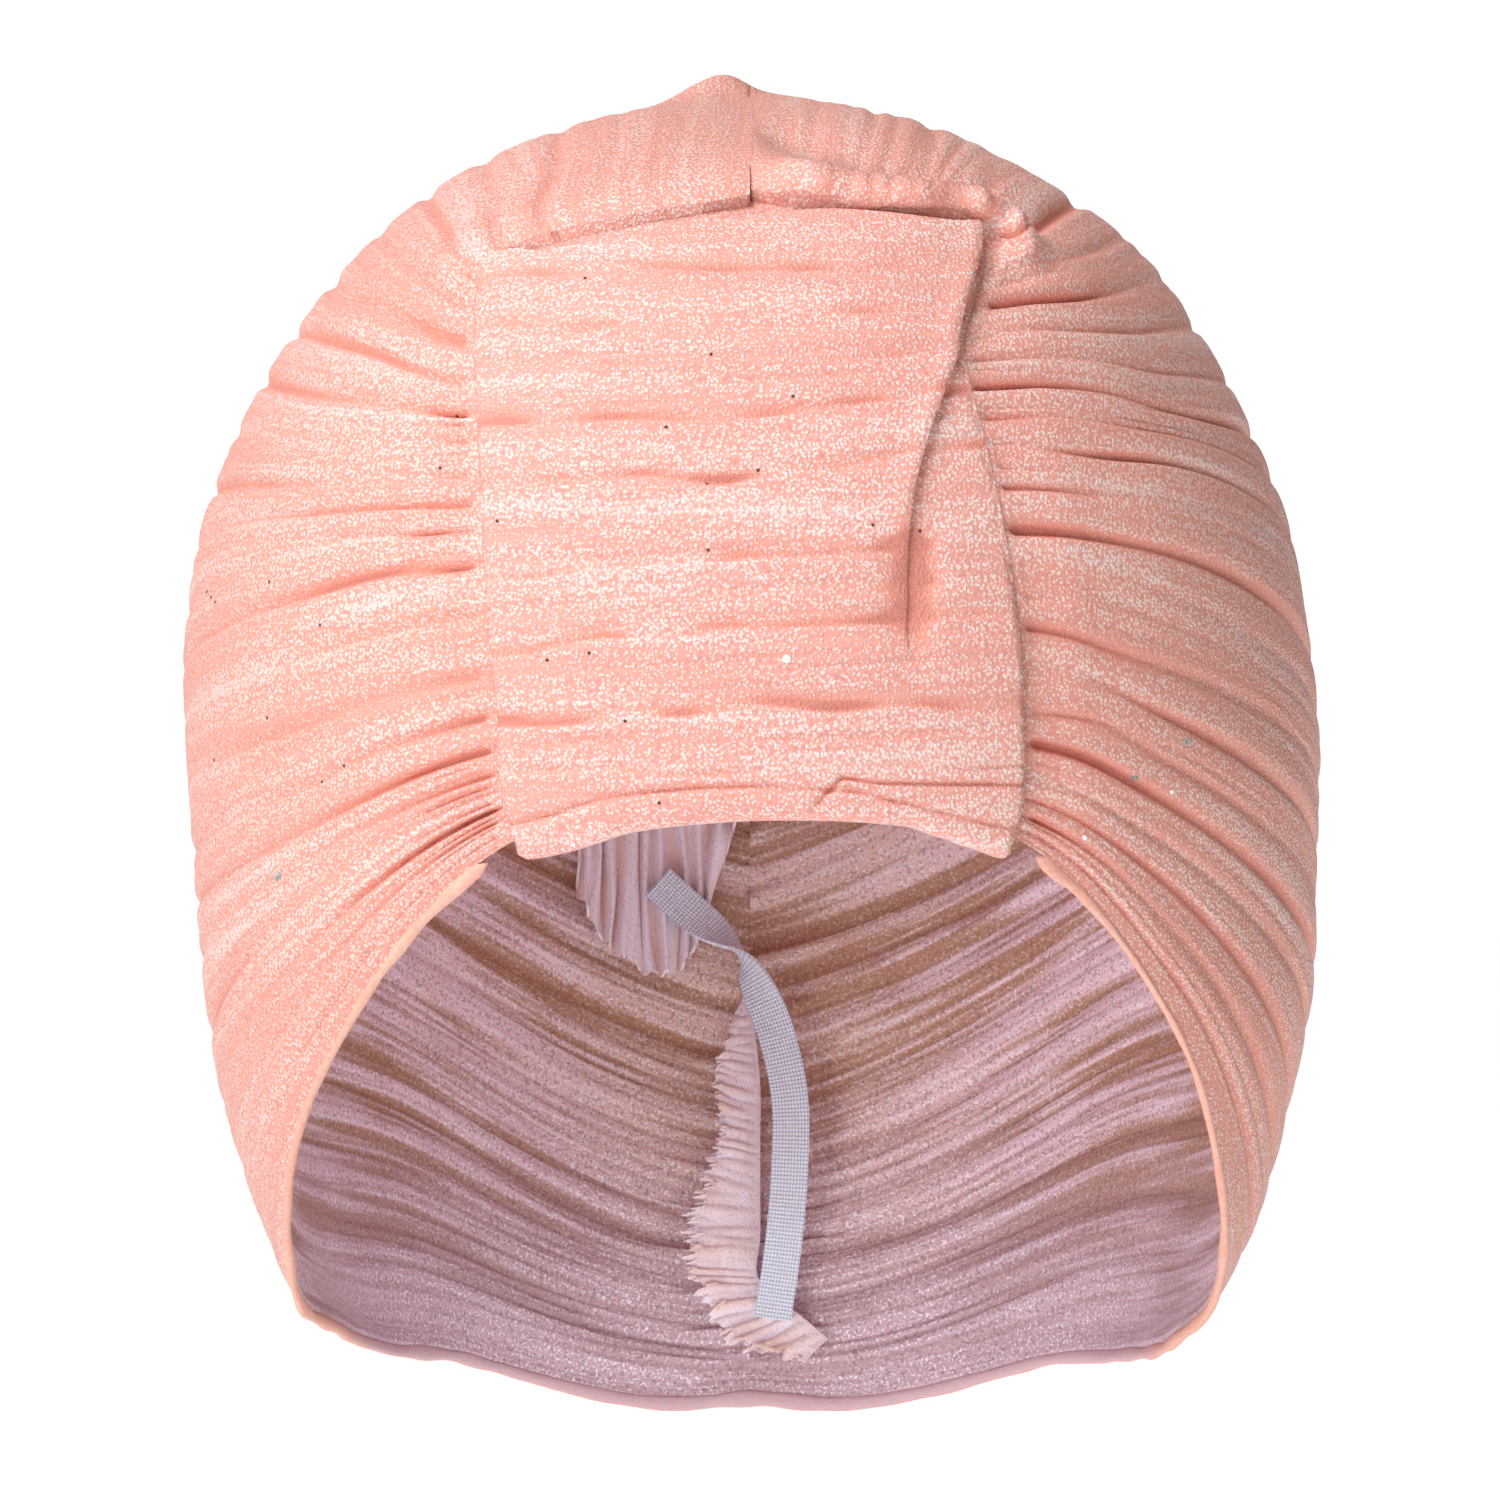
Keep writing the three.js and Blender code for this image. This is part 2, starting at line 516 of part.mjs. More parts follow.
// Elastic tape. at: share of its length; depth: share of TAPE_DEEP; turn: degrees it is turned out of the
// face-on direction.
const TAPE_RUN = [
  { at: 0.0, x: -0.195, z: -0.246, depth: 0.713, turn: 0 },
  { at: 0.12, x: -0.125, z: -0.303, depth: 0.75, turn: 10 },
  { at: 0.24, x: -0.04, z: -0.368, depth: 0.85, turn: 70 },
  { at: 0.33, x: 0.005, z: -0.434, depth: 0.969, turn: 140 },
  { at: 0.45, x: 0.036, z: -0.526, depth: 1, turn: 180 },
  { at: 0.6, x: 0.058, z: -0.636, depth: 1, turn: 180 },
  { at: 0.75, x: 0.054, z: -0.754, depth: 0.969, turn: 180 },
  { at: 0.88, x: 0.044, z: -0.86, depth: 0.775, turn: 180 },
  { at: 1.0, x: 0.034, z: -0.956, depth: 0.619, turn: 180 },
];
const tape = {
  x: curve(TAPE_RUN, "at", "x", 1, HALF),
  z: curve(TAPE_RUN, "at", "z", 1, PEAK),
  depth: curve(TAPE_RUN, "at", "depth", 1, TAPE_DEEP),
  turn: curve(TAPE_RUN, "at", "turn"),
};
function makeTape() {
  const rows = 26;
  const spine = (f) => inside(tape.x(f), tape.z(f), tape.depth(f));
  const face = (i, j, wall) => {
    const f = i / rows;
    const along = spine(Math.min(1, f + 0.01)).sub(spine(Math.max(0, f - 0.01))).normalize();
    const back = new THREE.Vector3(0, 1, 0);
    const flat = along.clone().cross(back).normalize(),
      up = flat.clone().cross(along);
    const w = rad(tape.turn(f));
    const wide = flat.clone().multiplyScalar(Math.cos(w)).addScaledVector(up, Math.sin(w));
    const thick = wide.clone().cross(along);
    return spine(f)
      .addScaledVector(wide, (j - 1) * (TAPE_WIDE / 2))
      .addScaledVector(thick, (wall ? -0.5 : 0.5) * TAPE_THICK);
  };
  return sheet("elastic_tape", rows, 2, face, TAPE);
}

// Seam ruffle: the allowance of the back seam. sx, sz: its sewn line; fx, fz: its frayed free edge;
// depth: share of RUFFLE_DEEP.
const RUFFLE_RUN = [
  { at: 0.0, sx: 0.005, sz: -0.439, fx: -0.015, fz: -0.447, depth: 0.842 },
  { at: 0.12, sx: 0, sz: -0.509, fx: -0.034, fz: -0.526, depth: 0.947 },
  { at: 0.25, sx: 0, sz: -0.596, fx: -0.05, fz: -0.596, depth: 1 },
  { at: 0.38, sx: 0, sz: -0.684, fx: -0.036, fz: -0.684, depth: 1 },
  { at: 0.52, sx: 0, sz: -0.781, fx: -0.064, fz: -0.781, depth: 1 },
  { at: 0.65, sx: 0.004, sz: -0.86, fx: -0.104, fz: -0.868, depth: 0.947 },
  { at: 0.75, sx: 0.014, sz: -0.921, fx: -0.11, fz: -0.93, depth: 0.895 },
  { at: 0.84, sx: 0.04, sz: -0.969, fx: -0.066, fz: -0.987, depth: 0.842 },
  { at: 0.92, sx: 0.09, sz: -1.004, fx: 0, fz: -1.044, depth: 0.789 },
  { at: 1.0, sx: 0.155, sz: -1.031, fx: 0.11, fz: -1.075, depth: 0.737 },
];
const ruffle = {
  sx: curve(RUFFLE_RUN, "at", "sx", 1, HALF),
  sz: curve(RUFFLE_RUN, "at", "sz", 1, PEAK),
  fx: curve(RUFFLE_RUN, "at", "fx", 1, HALF),
  fz: curve(RUFFLE_RUN, "at", "fz", 1, PEAK),
  depth: curve(RUFFLE_RUN, "at", "depth", 1, RUFFLE_DEEP),
};
function makeRuffle() {
  const rows = 30,
    cols = 4;
  const mid = (i, j) => {
    const f = i / rows,
      out = j / cols;
    const x = lerp(ruffle.sx(f), ruffle.fx(f), out),
      z = lerp(ruffle.sz(f), ruffle.fz(f), out);
    const wave = Math.cos(Math.PI * i) * 0.9 * ease((f - 0.03) / 0.1) * out;
    return inside(x, z, lerp(SEAM_DEEP, ruffle.depth(f) + 1, out) + wave);
  };
  return leaf("back_seam_ruffle", rows, cols, mid, FRILL_THICK, LILAC);
}

// Top frill: the gathered raw end of the same allowance. x: across; top and low: its heights.
const FRILL_RUN = [
  { x: -0.355, top: -0.123, low: -0.263 },
  { x: -0.32, top: -0.079, low: -0.325 },
  { x: -0.25, top: -0.053, low: -0.386 },
  { x: -0.18, top: -0.044, low: -0.408 },
  { x: -0.12, top: -0.035, low: -0.368 },
  { x: -0.07, top: -0.026, low: -0.246 },
  { x: -0.03, top: -0.026, low: -0.132 },
];
const frill = {
  top: curve(FRILL_RUN, "x", "top", HALF, PEAK),
  low: curve(FRILL_RUN, "x", "low", HALF, PEAK),
};
const FRILL_ENDS = [FRILL_RUN[0].x * HALF, FRILL_RUN[FRILL_RUN.length - 1].x * HALF];
function makeFrill() {
  const rows = 6,
    cols = 26;
  const mid = (i, j) => {
    const x = lerp(...FRILL_ENDS, j / cols),
      down = i / rows;
    const wave = Math.cos(Math.PI * j) * lerp(1.5, 0.7, down);
    return inside(x, lerp(frill.top(x), frill.low(x), down), lerp(FRILL_TOP, FRILL_DEEP, down) + wave);
  };
  return leaf("seam_top_frill", rows, cols, mid, FRILL_THICK, LILAC);
}

const group = new THREE.Group();
group.name = "pleated_turban_hat";
group.add(makeCrown(), makeBand(), makeHem(), makeTape(), makeRuffle(), makeFrill());
export default group;
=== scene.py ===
"""A pleated turban hat in its worn form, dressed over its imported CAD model.

Every point of the cloth lies on a ray from the middle of the head hollow. The form says how far out the
cloth is along that ray, and the pleats, creases, lips and folds add a few millimetres to it. Lengths are
millimetres until a mesh is made, and metres in Blender.
"""

from __future__ import annotations

import logging
import math
from dataclasses import dataclass, field
from enum import Enum
from typing import Any, Sequence

import bpy
import numpy as np
from numpy.typing import NDArray
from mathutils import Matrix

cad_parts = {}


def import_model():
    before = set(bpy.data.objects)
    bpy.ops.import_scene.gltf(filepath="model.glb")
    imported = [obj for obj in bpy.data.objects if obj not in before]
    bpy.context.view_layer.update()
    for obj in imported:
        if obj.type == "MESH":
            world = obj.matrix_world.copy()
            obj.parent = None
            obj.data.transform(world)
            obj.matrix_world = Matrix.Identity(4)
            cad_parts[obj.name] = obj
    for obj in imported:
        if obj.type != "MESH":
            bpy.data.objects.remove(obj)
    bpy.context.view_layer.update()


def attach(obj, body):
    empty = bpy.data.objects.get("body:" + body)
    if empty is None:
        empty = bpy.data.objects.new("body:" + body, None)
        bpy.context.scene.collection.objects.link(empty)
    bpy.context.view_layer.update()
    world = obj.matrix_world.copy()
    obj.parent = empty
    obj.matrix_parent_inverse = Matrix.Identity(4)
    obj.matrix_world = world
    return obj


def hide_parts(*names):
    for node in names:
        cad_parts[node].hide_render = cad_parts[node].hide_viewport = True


Array = NDArray[np.float64]
LOG = logging.getLogger("turban_hat")
MM = 0.001


class Side(Enum):
    """The two halves of the crown, as the viewer sees them."""

    LEFT = -1
    RIGHT = 1


def ease(x: Array | float) -> Array:
    """Smooth step from 0 to 1: 3x^2 - 2x^3, held at both ends."""
    c = np.clip(x, 0.0, 1.0)
    return c * c * (3.0 - 2.0 * c)


def bell(x: Array | float, wide: float) -> Array:
    """A bell, 1 at 0 and 1/e at a distance of wide: exp(-(x / wide)^2)."""
    return np.exp(-((np.asarray(x, float) / wide) ** 2))


def blend(a: Any, b: Any, f: Any) -> Any:
    """Straight mix of a and b: a + (b - a) f."""
    return a + (b - a) * f


def length(v: Array) -> Array:
    """Length of each vector, kept as a last axis of one."""
    return np.sqrt((v * v).sum(-1, keepdims=True))


def ripple(u: Array, v: Array, seed: int, waves: int = 9) -> Array:
    """Smooth random relief in about -1..1: the mean of sines with random directions and phases."""
    rng = np.random.default_rng(seed)
    total = np.zeros(np.broadcast(u, v).shape)
    for _ in range(waves):
        angle, pitch, phase = rng.uniform(0, 2 * math.pi), rng.uniform(0.55, 1.6), rng.uniform(0, 2 * math.pi)
        total = total + np.sin(2 * math.pi * pitch * (u * math.cos(angle) + v * math.sin(angle)) + phase)
    return total / math.sqrt(waves)


class Curve:
    """A smooth curve through a short table: a cubic between rows, with the slope of each row's neighbours."""

    def __init__(self, keys: Sequence[float], values: Sequence[float]) -> None:
        """Keeps the rows in the order of their keys.

        Args:
            keys: where each row stands.
            values: what the curve is there.
        """
        order = np.argsort(np.asarray(keys, float))
        self.k = np.asarray(keys, float)[order]
        self.v = np.asarray(values, float)[order]
        at = np.arange(len(self.k))
        lo, hi = np.maximum(at - 1, 0), np.minimum(at + 1, len(at) - 1)
        self.slope = (self.v[hi] - self.v[lo]) / (self.k[hi] - self.k[lo])

    def __call__(self, x: Array | float) -> Array:
        """The curve at x, held at its first and last rows."""
        x = np.clip(np.asarray(x, float), self.k[0], self.k[-1])
        i = np.clip(np.searchsorted(self.k, x, side="right") - 1, 0, len(self.k) - 2)
        h = self.k[i + 1] - self.k[i]
        f = (x - self.k[i]) / h
        f2, f3 = f * f, f * f * f
        return (
            (2 * f3 - 3 * f2 + 1) * self.v[i]
            + (f3 - 2 * f2 + f) * h * self.slope[i]
            + (3 * f2 - 2 * f3) * self.v[i + 1]
            + (f3 - f2) * h * self.slope[i + 1]
        )


def table(rows: Sequence[Sequence[float]]) -> list[Curve]:
    """One curve per further column of a table, over its first column."""
    columns = list(zip(*rows))
    return [Curve(columns[0], c) for c in columns[1:]]


@dataclass
class HatForm:
    """The plain form under the pleats, from its four outlines.

    outline columns: height as a share of peak; left, right, front and back as shares of their sizes.
    """

    half: float = 100.0
    peak: float = 114.0
    front: float = 108.0
    back: float = 116.0
    outline: tuple[tuple[float, ...], ...] = (
        (1.0, 0, 0, 0, 0), (0.965, 0.16, 0.16, 0.26, 0.34), (0.91, 0.345, 0.35, 0.46, 0.54),
        (0.85, 0.495, 0.485, 0.6, 0.66), (0.73, 0.69, 0.685, 0.765, 0.79),
        (0.6, 0.81, 0.79, 0.87, 0.865), (0.48, 0.885, 0.865, 0.92, 0.915),
        (0.35, 0.945, 0.93, 0.96, 0.95), (0.18, 0.975, 0.965, 0.985, 0.98),
        (0.0, 0.975, 0.985, 1.0, 1.0), (-0.18, 0.965, 0.98, 1.0, 1.0),
        (-0.35, 0.945, 0.975, 0.985, 0.985), (-0.53, 0.915, 0.935, 0.95, 0.965),
        (-0.7, 0.855, 0.885, 0.9, 0.935), (-0.82, 0.8, 0.825, 0.85, 0.91),
        (-0.9, 0.73, 0.76, 0.8, 0.89), (-1.1, 0.6, 0.63, 0.7, 0.855),
    )
    reach: dict[str, Curve] = field(init=False)

    def __post_init__(self) -> None:
        """Turns each outline into a distance from the origin over the angle above the horizon."""
        rows = np.asarray(self.outline)
        up = rows[:, 0] * self.peak
        sizes = {"left": self.half, "right": self.half, "front": self.front, "back": self.back}
        self.reach = {}
        for column, (name, size) in enumerate(sizes.items(), start=1):
            out = rows[:, column] * size
            self.reach[name] = Curve(np.arctan2(up, out), np.hypot(up, out))

    def distance(self, p: Array) -> Array:
        """How far out the form lies along the ray through each point.

        The two outlines nearest the ray are joined by a slightly squared ellipse:
        ((|y| / flat / fb)^n + (|x| / flat / side)^n)^(-1/n).
        """
        x, y, z = p[..., 0], p[..., 1], p[..., 2]
        flat = np.maximum(np.hypot(x, y), 1e-9)
        angle = np.arctan2(z, flat)
        n = 2 + 0.35 * np.cos(angle)
        fb = np.where(y < 0, self.reach["front"](angle), self.reach["back"](angle))
        side = np.where(x < 0, self.reach["left"](angle), self.reach["right"](angle))
        return ((np.abs(y) / flat / fb) ** n + (np.abs(x) / flat / side) ** n) ** (-1 / n)

    def on(self, p: Array, off: Array | float = 0.0) -> Array:
        """The points off millimetres outside the form along the rays through p."""
        return p / length(p) * (self.distance(p) + off)[..., None]

    def at(self, x: Array | float, z: Array | float, face: int) -> Array:
        """The point of the form at each x and z, on its front (-1) or back (+1), found by halving."""
        x, z = np.broadcast_arrays(np.asarray(x, float), np.asarray(z, float))
        lo, hi = np.zeros(x.shape), np.full(x.shape, 170.0)
        for _ in range(34):
            mid = (lo + hi) / 2
            p = np.stack([x, face * mid, z], -1)
            within = length(p)[..., 0] < self.distance(p)
            lo, hi = np.where(within, mid, lo), np.where(within, hi, mid)
        return np.stack([x, face * lo, z], -1)

    def inside(self, x: Array, z: Array, depth: Array | float) -> Array:
        """Points depth millimetres inside the back of the form at x and z."""
        p = self.at(x, z, 1)
        return p * (1 - np.asarray(depth)[..., None] / length(p))


FORM = HatForm()


@dataclass(frozen=True)
class Grid:
    """A grid on one half of the crown: its rows' shares from ridge to rim, and its columns' stations."""

    share: Array
    s: Array
    side: Side

    @property
    def a(self) -> Array:
        """The shares as a column."""
        return self.share[:, None]

    @property
    def t(self) -> Array:
        """The stations as a row."""
        return self.s[None, :]


@dataclass
class PleatRun:
    """Where the pleats run, from the front middle round each side to the back seam.

    run columns: share from the top ridge (0) to the rim (1); height at the front middle; x and z where a
    pleat leaves the band on the left, then on the right; x and z at the left temple, then at the right
    one; degrees above the horizon at the back seam.
    """

    run: tuple[tuple[float, ...], ...] = (
        (0.0, 89, 0, 90, 0, 91, 0, 104, 0, 104, 52),
        (0.08, 87, -21, 86.5, 17, 88, -21, 99, 19, 100, 42),
        (0.16, 83, -38, 82.5, 34.5, 87.4, -40, 92, 38, 94, 33),
        (0.22, 78, -46, 77.5, 41.6, 83, -51, 85, 50, 87, 27),
        (0.28, 72, -46.4, 69, 40.2, 75, -60, 76, 58, 78, 20),
        (0.333, 63, -46, 60, 36, 68, -65, 66, 63, 69, 13),
        (0.417, 54, -45.4, 50, 36.2, 59, -70, 50, 67, 57, 2),
        (0.5, 43, -44.8, 40, 39, 49, -71, 38, 67.5, 48, -9),
        (0.583, 30, -44, 30, 42.2, 36, -71, 25, 67.5, 31, -20),
        (0.667, 15, -42.8, 12.5, 44.5, 20, -71, 4, 67.5, 14, -30),
        (0.75, 4, -41.6, 0, 45.2, 7, -71, -11, 67.5, -1, -38),
        (0.833, -3, -41, -7, 45.4, -4, -71, -25, 67.5, -15, -43.5),
        (0.917, -5, -40.2, -11.6, 45, -11, -71, -39, 68, -29, -48),
        (1.0, -6.8, -38.6, -14.9, 43.2, -14.4, -71, -53, 70, -45, -51.6),
    )
    top_to_rim: float = 142.0

    def stations(self, g: Grid) -> Array:
        """The stations of each pleat: before the middle, middle, band edge, temple, side, back quarter,
        seam and beyond the seam, as points of shape (8, rows, 3)."""
        share = g.share
        middle, lx, lz, rx, rz, tlx, tlz, trx, trz, seam = [c(share) for c in table(self.run)]
        left = g.side is Side.LEFT
        zero = np.zeros_like(share)
        p0 = FORM.at(zero, middle, -1)
        p1 = FORM.at(lx if left else rx, lz if left else rz, -1)
        temple = FORM.at(tlx if left else trx, tlz if left else trz, -1)
        turn = np.radians(self.top_to_rim * share)
        p2 = FORM.on(np.stack([g.side.value * np.sin(turn), -0.02 - 0.1 * share, np.cos(turn)], -1))
        elev = np.radians(seam)
        p4 = FORM.on(np.stack([zero, np.cos(elev), np.sin(elev)], -1))
        quarter = blend(p2[:, 2], p4[:, 2], blend(0.30, 0.56, share**4))
        p3 = FORM.at(p2[:, 0] * blend(0.8, 0.72, share), quarter, 1)
        flip = np.array([-1.0, 1.0, 1.0])
        steep = (0.75 * (1 - ease((share - 0.8) / 0.2)))[:, None]
        return np.stack([p1 * flip, p0, p1, temple, p2, p3, p4, blend(p3 * flip, 2 * p4 - p3, steep)])

    def ray(self, g: Grid) -> Array:
        """Directions of the cloth over a grid, with stations from 0 to 5.

        Each pleat is a cubic through its stations, paced by the distance between them to the power 0.6.
        """
        p, s = self.stations(g), g.s
        pace = (length(p[1:] - p[:-1])[..., 0] + 1e-9) ** 0.6
        i = np.minimum(np.floor(s).astype(int), 4) + 1
        f = (s - (i - 1))[:, None, None]
        h = pace[i][..., None]

        def tangent(k: NDArray[np.int64]) -> Array:
            """Slope through station k, by its two neighbours and their paces."""
            before, after = pace[k - 1][..., None], pace[k][..., None]
            into, away = (p[k] - p[k - 1]) / before, (p[k + 1] - p[k]) / after
            return (into + away - (p[k + 1] - p[k - 1]) / (before + after)) * h

        f2, f3 = f * f, f * f * f
        rays = (
            p[i] * (2 * f3 - 3 * f2 + 1)
            + tangent(i) * (f3 - 2 * f2 + f)
            + p[i + 1] * (3 * f2 - 2 * f3)
            + tangent(i + 1) * (f3 - f2)
        )
        return rays.transpose(1, 0, 2)


RUN = PleatRun()


@dataclass
class Relief:
    """How far the crown's outer face stands off the form.

    valleys columns: pleat counted from the ridge; depth of the valley there as a share of deepest, on the
    left and on the right.
    """

    ribs: int = 24
    crest: float = 1.0
    deepest: float = 2.4
    lip: float = 2.6
    seam: float = 5.0
    valleys: tuple[tuple[float, float, float], ...] = (
        (0, 0.2, 0.3), (2, 0.25, 0.6), (4, 0.6, 0.8), (6, 0.55, 0.7), (8, 1.0, 0.6), (10, 0.4, 1.0),
        (11, 0.75, 0.5), (12, 0.6, 0.7), (14, 0.75, 0.9), (15, 0.55, 0.75), (16, 0.7, 0.55),
        (18, 0.9, 0.7), (19, 0.6, 0.95), (21, 1.0, 1.0), (22, 0.6, 0.9), (24, 0.3, 0.3),
    )

    def creases(self, g: Grid, seed: int, count: int) -> Array:
        """Sharp little valleys at uneven places, 0 on a crest and 1 in a valley.

        Each one is a narrow dip with rounded cloth between, whose place wanders a little along the pleat.

        Args:
            g: the grid.
            seed: which set of random places.
            count: how many between ridge and rim.

        Returns:
            The relief over the grid.
        """
        rng = np.random.default_rng(seed)
        places = (np.arange(count) + 0.5 + rng.uniform(-0.36, 0.36, count)) / count
        depths = rng.uniform(0.35, 1.0, count)
        fine = np.linspace(0, 1, 6001)
        gap = 1.0 / count
        profile = np.zeros_like(fine)
        for c, d in zip(places, depths):
            profile = np.maximum(profile, d * np.clip(1 - np.abs(fine - c) / (0.62 * gap), 0, 1) ** 2.2)
        wander = g.a + 0.3 * gap * ripple(g.a * 7, g.t * 0.45, seed + 1)
        return np.interp(wander, fine, profile)

    def offset(self, g: Grid) -> tuple[Array, Array]:
        """How far the outer face stands off in millimetres, and how deep in a crease it lies, 0 to 1.

        The relief is crests, less main valleys at even shares, less small creases, plus a slow wave, a lip
        over the band's edge and a draw at the back seam.
        """
        a, t, sign = g.a, g.t, g.side.value
        right = g.side is Side.RIGHT
        top = 1 - ease((a - 0.2) / 0.07)
        left_col, right_col = table(self.valleys)
        depth = self.deepest * (right_col if right else left_col)(a * self.ribs)
        wander = a + 0.006 * ripple(a * 5, t * 0.5, 31 + sign) * ease(t - 0.8)
        lean = wander + 0.16 / self.ribs / (2 * math.pi) * np.sin(2 * math.pi * self.ribs * wander)
        low = ((1 + np.cos(2 * math.pi * self.ribs * lean)) / 2) ** 4.0
        ridge = ease(a * self.ribs * 0.5)
        out = ease((t - 0.99) / 0.4)
        spread = 1 - 0.3 * ease((t - 1.6) / 1.6) + 0.4 * ease((t - 4.2) / 0.8)
        fade = 0.62 + 0.42 * ripple(a * 11, t * 0.4, 57 + sign)
        grip = ease((t - 0.985) / 0.06)  # the creases start right at the band's edge
        main = 0.95 * depth * low * spread * blend(0.35, 1, grip) * ridge * fade
        front, back = self.creases(g, 101 + sign, 50), self.creases(g, 211 + sign, 40)
        small = blend(front, back, ease((t - 2.2) / 2.0))
        calm = 1 - 0.55 * ease(1 - np.abs(a - 0.12) / 0.12) * (0.0 if right else 1.0)
        patch = 0.6 + 0.4 * ripple(a * 6, t * 1.1, 67 + sign)
        minor = 0.62 * patch + 0.5 * bell(t - 1.08, 0.25) + 0.5 * ease((t - 4.3) / 0.7)
        minor = minor * small * ridge * grip * calm
        wave = 0.5 * ripple(a * 3.2, t * 0.7, 77 + sign) * ease((t - 1.2) / 1.2) * ridge
        body = blend(0.1, self.crest, out) + 0.25 - main - minor + wave
        own = 1.25 * bell(t - 1.25, 0.32) - 0.6 * bell(t - 1.85, 0.25) if right else 0.75 * bell(t - 1.3, 0.6)
        both = 0.95 * bell(t - 1.27, 0.45)
        lip = self.lip * blend(both, own, ease(a / 0.03)) * top
        drawn = -3.0 * bell(t - self.seam, 0.22) * ease((a - 0.1) / 0.3)
        edge = blend(1, 0.25, ease((a - 0.93) / 0.07))
        under = -0.1 * low * ridge
        off = np.where(t < 0.99, under, body * edge + lip + drawn)
        # the crease depth also sets where the outer crepe paints shade
        crease = np.clip((main / 2.0 + minor / 1.6) * edge, 0, 1)
        return off, np.where(t < 0.99, 0, crease)

    def lining(self, g: Grid, off: Array, thick: float) -> tuple[Array, Array]:
        """Offset of the inner face: its own close pleats, always at least one thickness under the outer face.

        Args:
            g: the grid.
            off: offset of the outer face.
            thick: least thickness.

        Returns:
            The offset in millimetres, and 1 on a fold that faces in falling to 0 in a gap.
        """
        a, t, sign = g.a, g.t, g.side.value
        big, fine = self.creases(g, 301 + sign, 21) ** 0.8, self.creases(g, 401 + sign, 74)
        wave = 0.7 * ripple(a * 2.6, t * 0.9, 87 + sign)
        own = -3.5 + 1.6 * big + 0.75 * fine * (0.7 + 0.3 * ripple(a * 8, t, 91)) + 0.5 * wave
        calm = ease((1 - a) / 0.05) * ease(a / 0.05)
        own = np.minimum(blend(-1.3, own, calm), off - thick)
        # the fold value also sets the inside crepe's painted sheen on the folds and painted shade in the gaps
        gap = np.clip(0.6 * big + 0.55 * fine - 0.12 * wave, 0, 1)
        return own, 1 - gap * calm


def peak_off(p: Array) -> Array:
    """Two small points where the gathers meet on the top: a bell each."""
    high = np.zeros(p.shape[:-1])
    for x, y, up, wide in ((-4.2, -10, 3.4, 5), (-10, -14, 1.8, 5)):
        high = high + up * bell(np.hypot(p[..., 0] - x, p[..., 1] - y), wide)
    return np.where(p[..., 2] > 0, high, 0)


def piece(name: str, points: Array, faces: Array, uv: Array, crease: Array, first: int) -> bpy.types.Object:
    """A closed piece, turned so that its faces point outwards.

    The signed volume over the faces' first corners, the sum of a . (b x c), says which way they point.

    Args:
        name: the object's name.
        points: places in millimetres.
        faces: four corner numbers each.
        uv: cloth coordinates of the points, in millimetres.
        crease: how deep in a crease each point lies.
        first: how many faces have the first material. The rest have the second.

    Returns:
        The object, at the origin.
    """
    tri = points[faces[:, :3]] - points.mean(0)
    if np.einsum("ij,ij->i", tri[:, 0], np.cross(tri[:, 1], tri[:, 2])).sum() < 0:
        faces = faces[:, ::-1]
    made = bpy.data.meshes.new(name)
    made.from_pydata((points * MM).tolist(), [], faces.tolist())
    made.polygons.foreach_set("material_index", (np.arange(len(faces)) >= first).astype(np.int32))
    index = np.empty(len(made.loops), dtype=np.int32)
    made.loops.foreach_get("vertex_index", index)
    layer = made.uv_layers.new(name="cloth")
    layer.data.foreach_set("uv", (uv * MM)[index].astype(np.float32).ravel())
    tint = made.attributes.new("crease", "FLOAT", "POINT")
    tint.data.foreach_set("value", crease.astype(np.float32))
    made.shade_smooth()
    made.set_sharp_from_angle(angle=math.radians(84))
    obj = bpy.data.objects.new(name, made)
    bpy.context.scene.collection.objects.link(obj)
    return obj


@dataclass
class Cloth:
    """A closed sheet of cloth from two grids of points, with its place along and across the pleats."""

    name: str
    outer: Array
    inner: Array
    along: Array
    across: Array
    crease: Array
    crease_in: Array | None = None

    def mesh(self) -> bpy.types.Object:
        """Builds the outer wall, the inner wall, then the strips that close the four edges.

        Faces are lists of four corners worked out from the grid's numbering. The outer wall has the first
        material, and the inner wall and the edges the second.
        """
        rows, cols = self.outer.shape[:2]
        count = rows * cols
        number = np.arange(count).reshape(rows, cols)

        def quads(*corners: Array) -> Array:
            """Four corner grids as a list of faces."""
            return np.stack([c.ravel() for c in corners], 1)

        a, b, c, d = number[:-1, :-1], number[1:, :-1], number[1:, 1:], number[:-1, 1:]
        faces = [quads(a, b, c, d), quads(a, d, c, b) + count]
        for edge, turned in ((number[0], 0), (number[-1], 1), (number[:, 0], 1), (number[:, -1], 0)):
            near, far = edge[:-1], edge[1:]
            strip = (near, far, far + count, near + count)
            strip = (strip[0], strip[3], strip[2], strip[1]) if turned else strip
            faces.append(quads(*strip))
        points = np.concatenate([self.outer.reshape(-1, 3), self.inner.reshape(-1, 3)])
        uv = np.tile(np.stack([self.along.ravel(), self.across.ravel()], 1), (2, 1))
        within = self.crease if self.crease_in is None else self.crease_in
        crease = np.concatenate([self.crease.ravel(), within.ravel()])
        return piece(self.name, points, np.concatenate(faces), uv, crease, len(faces[0]))


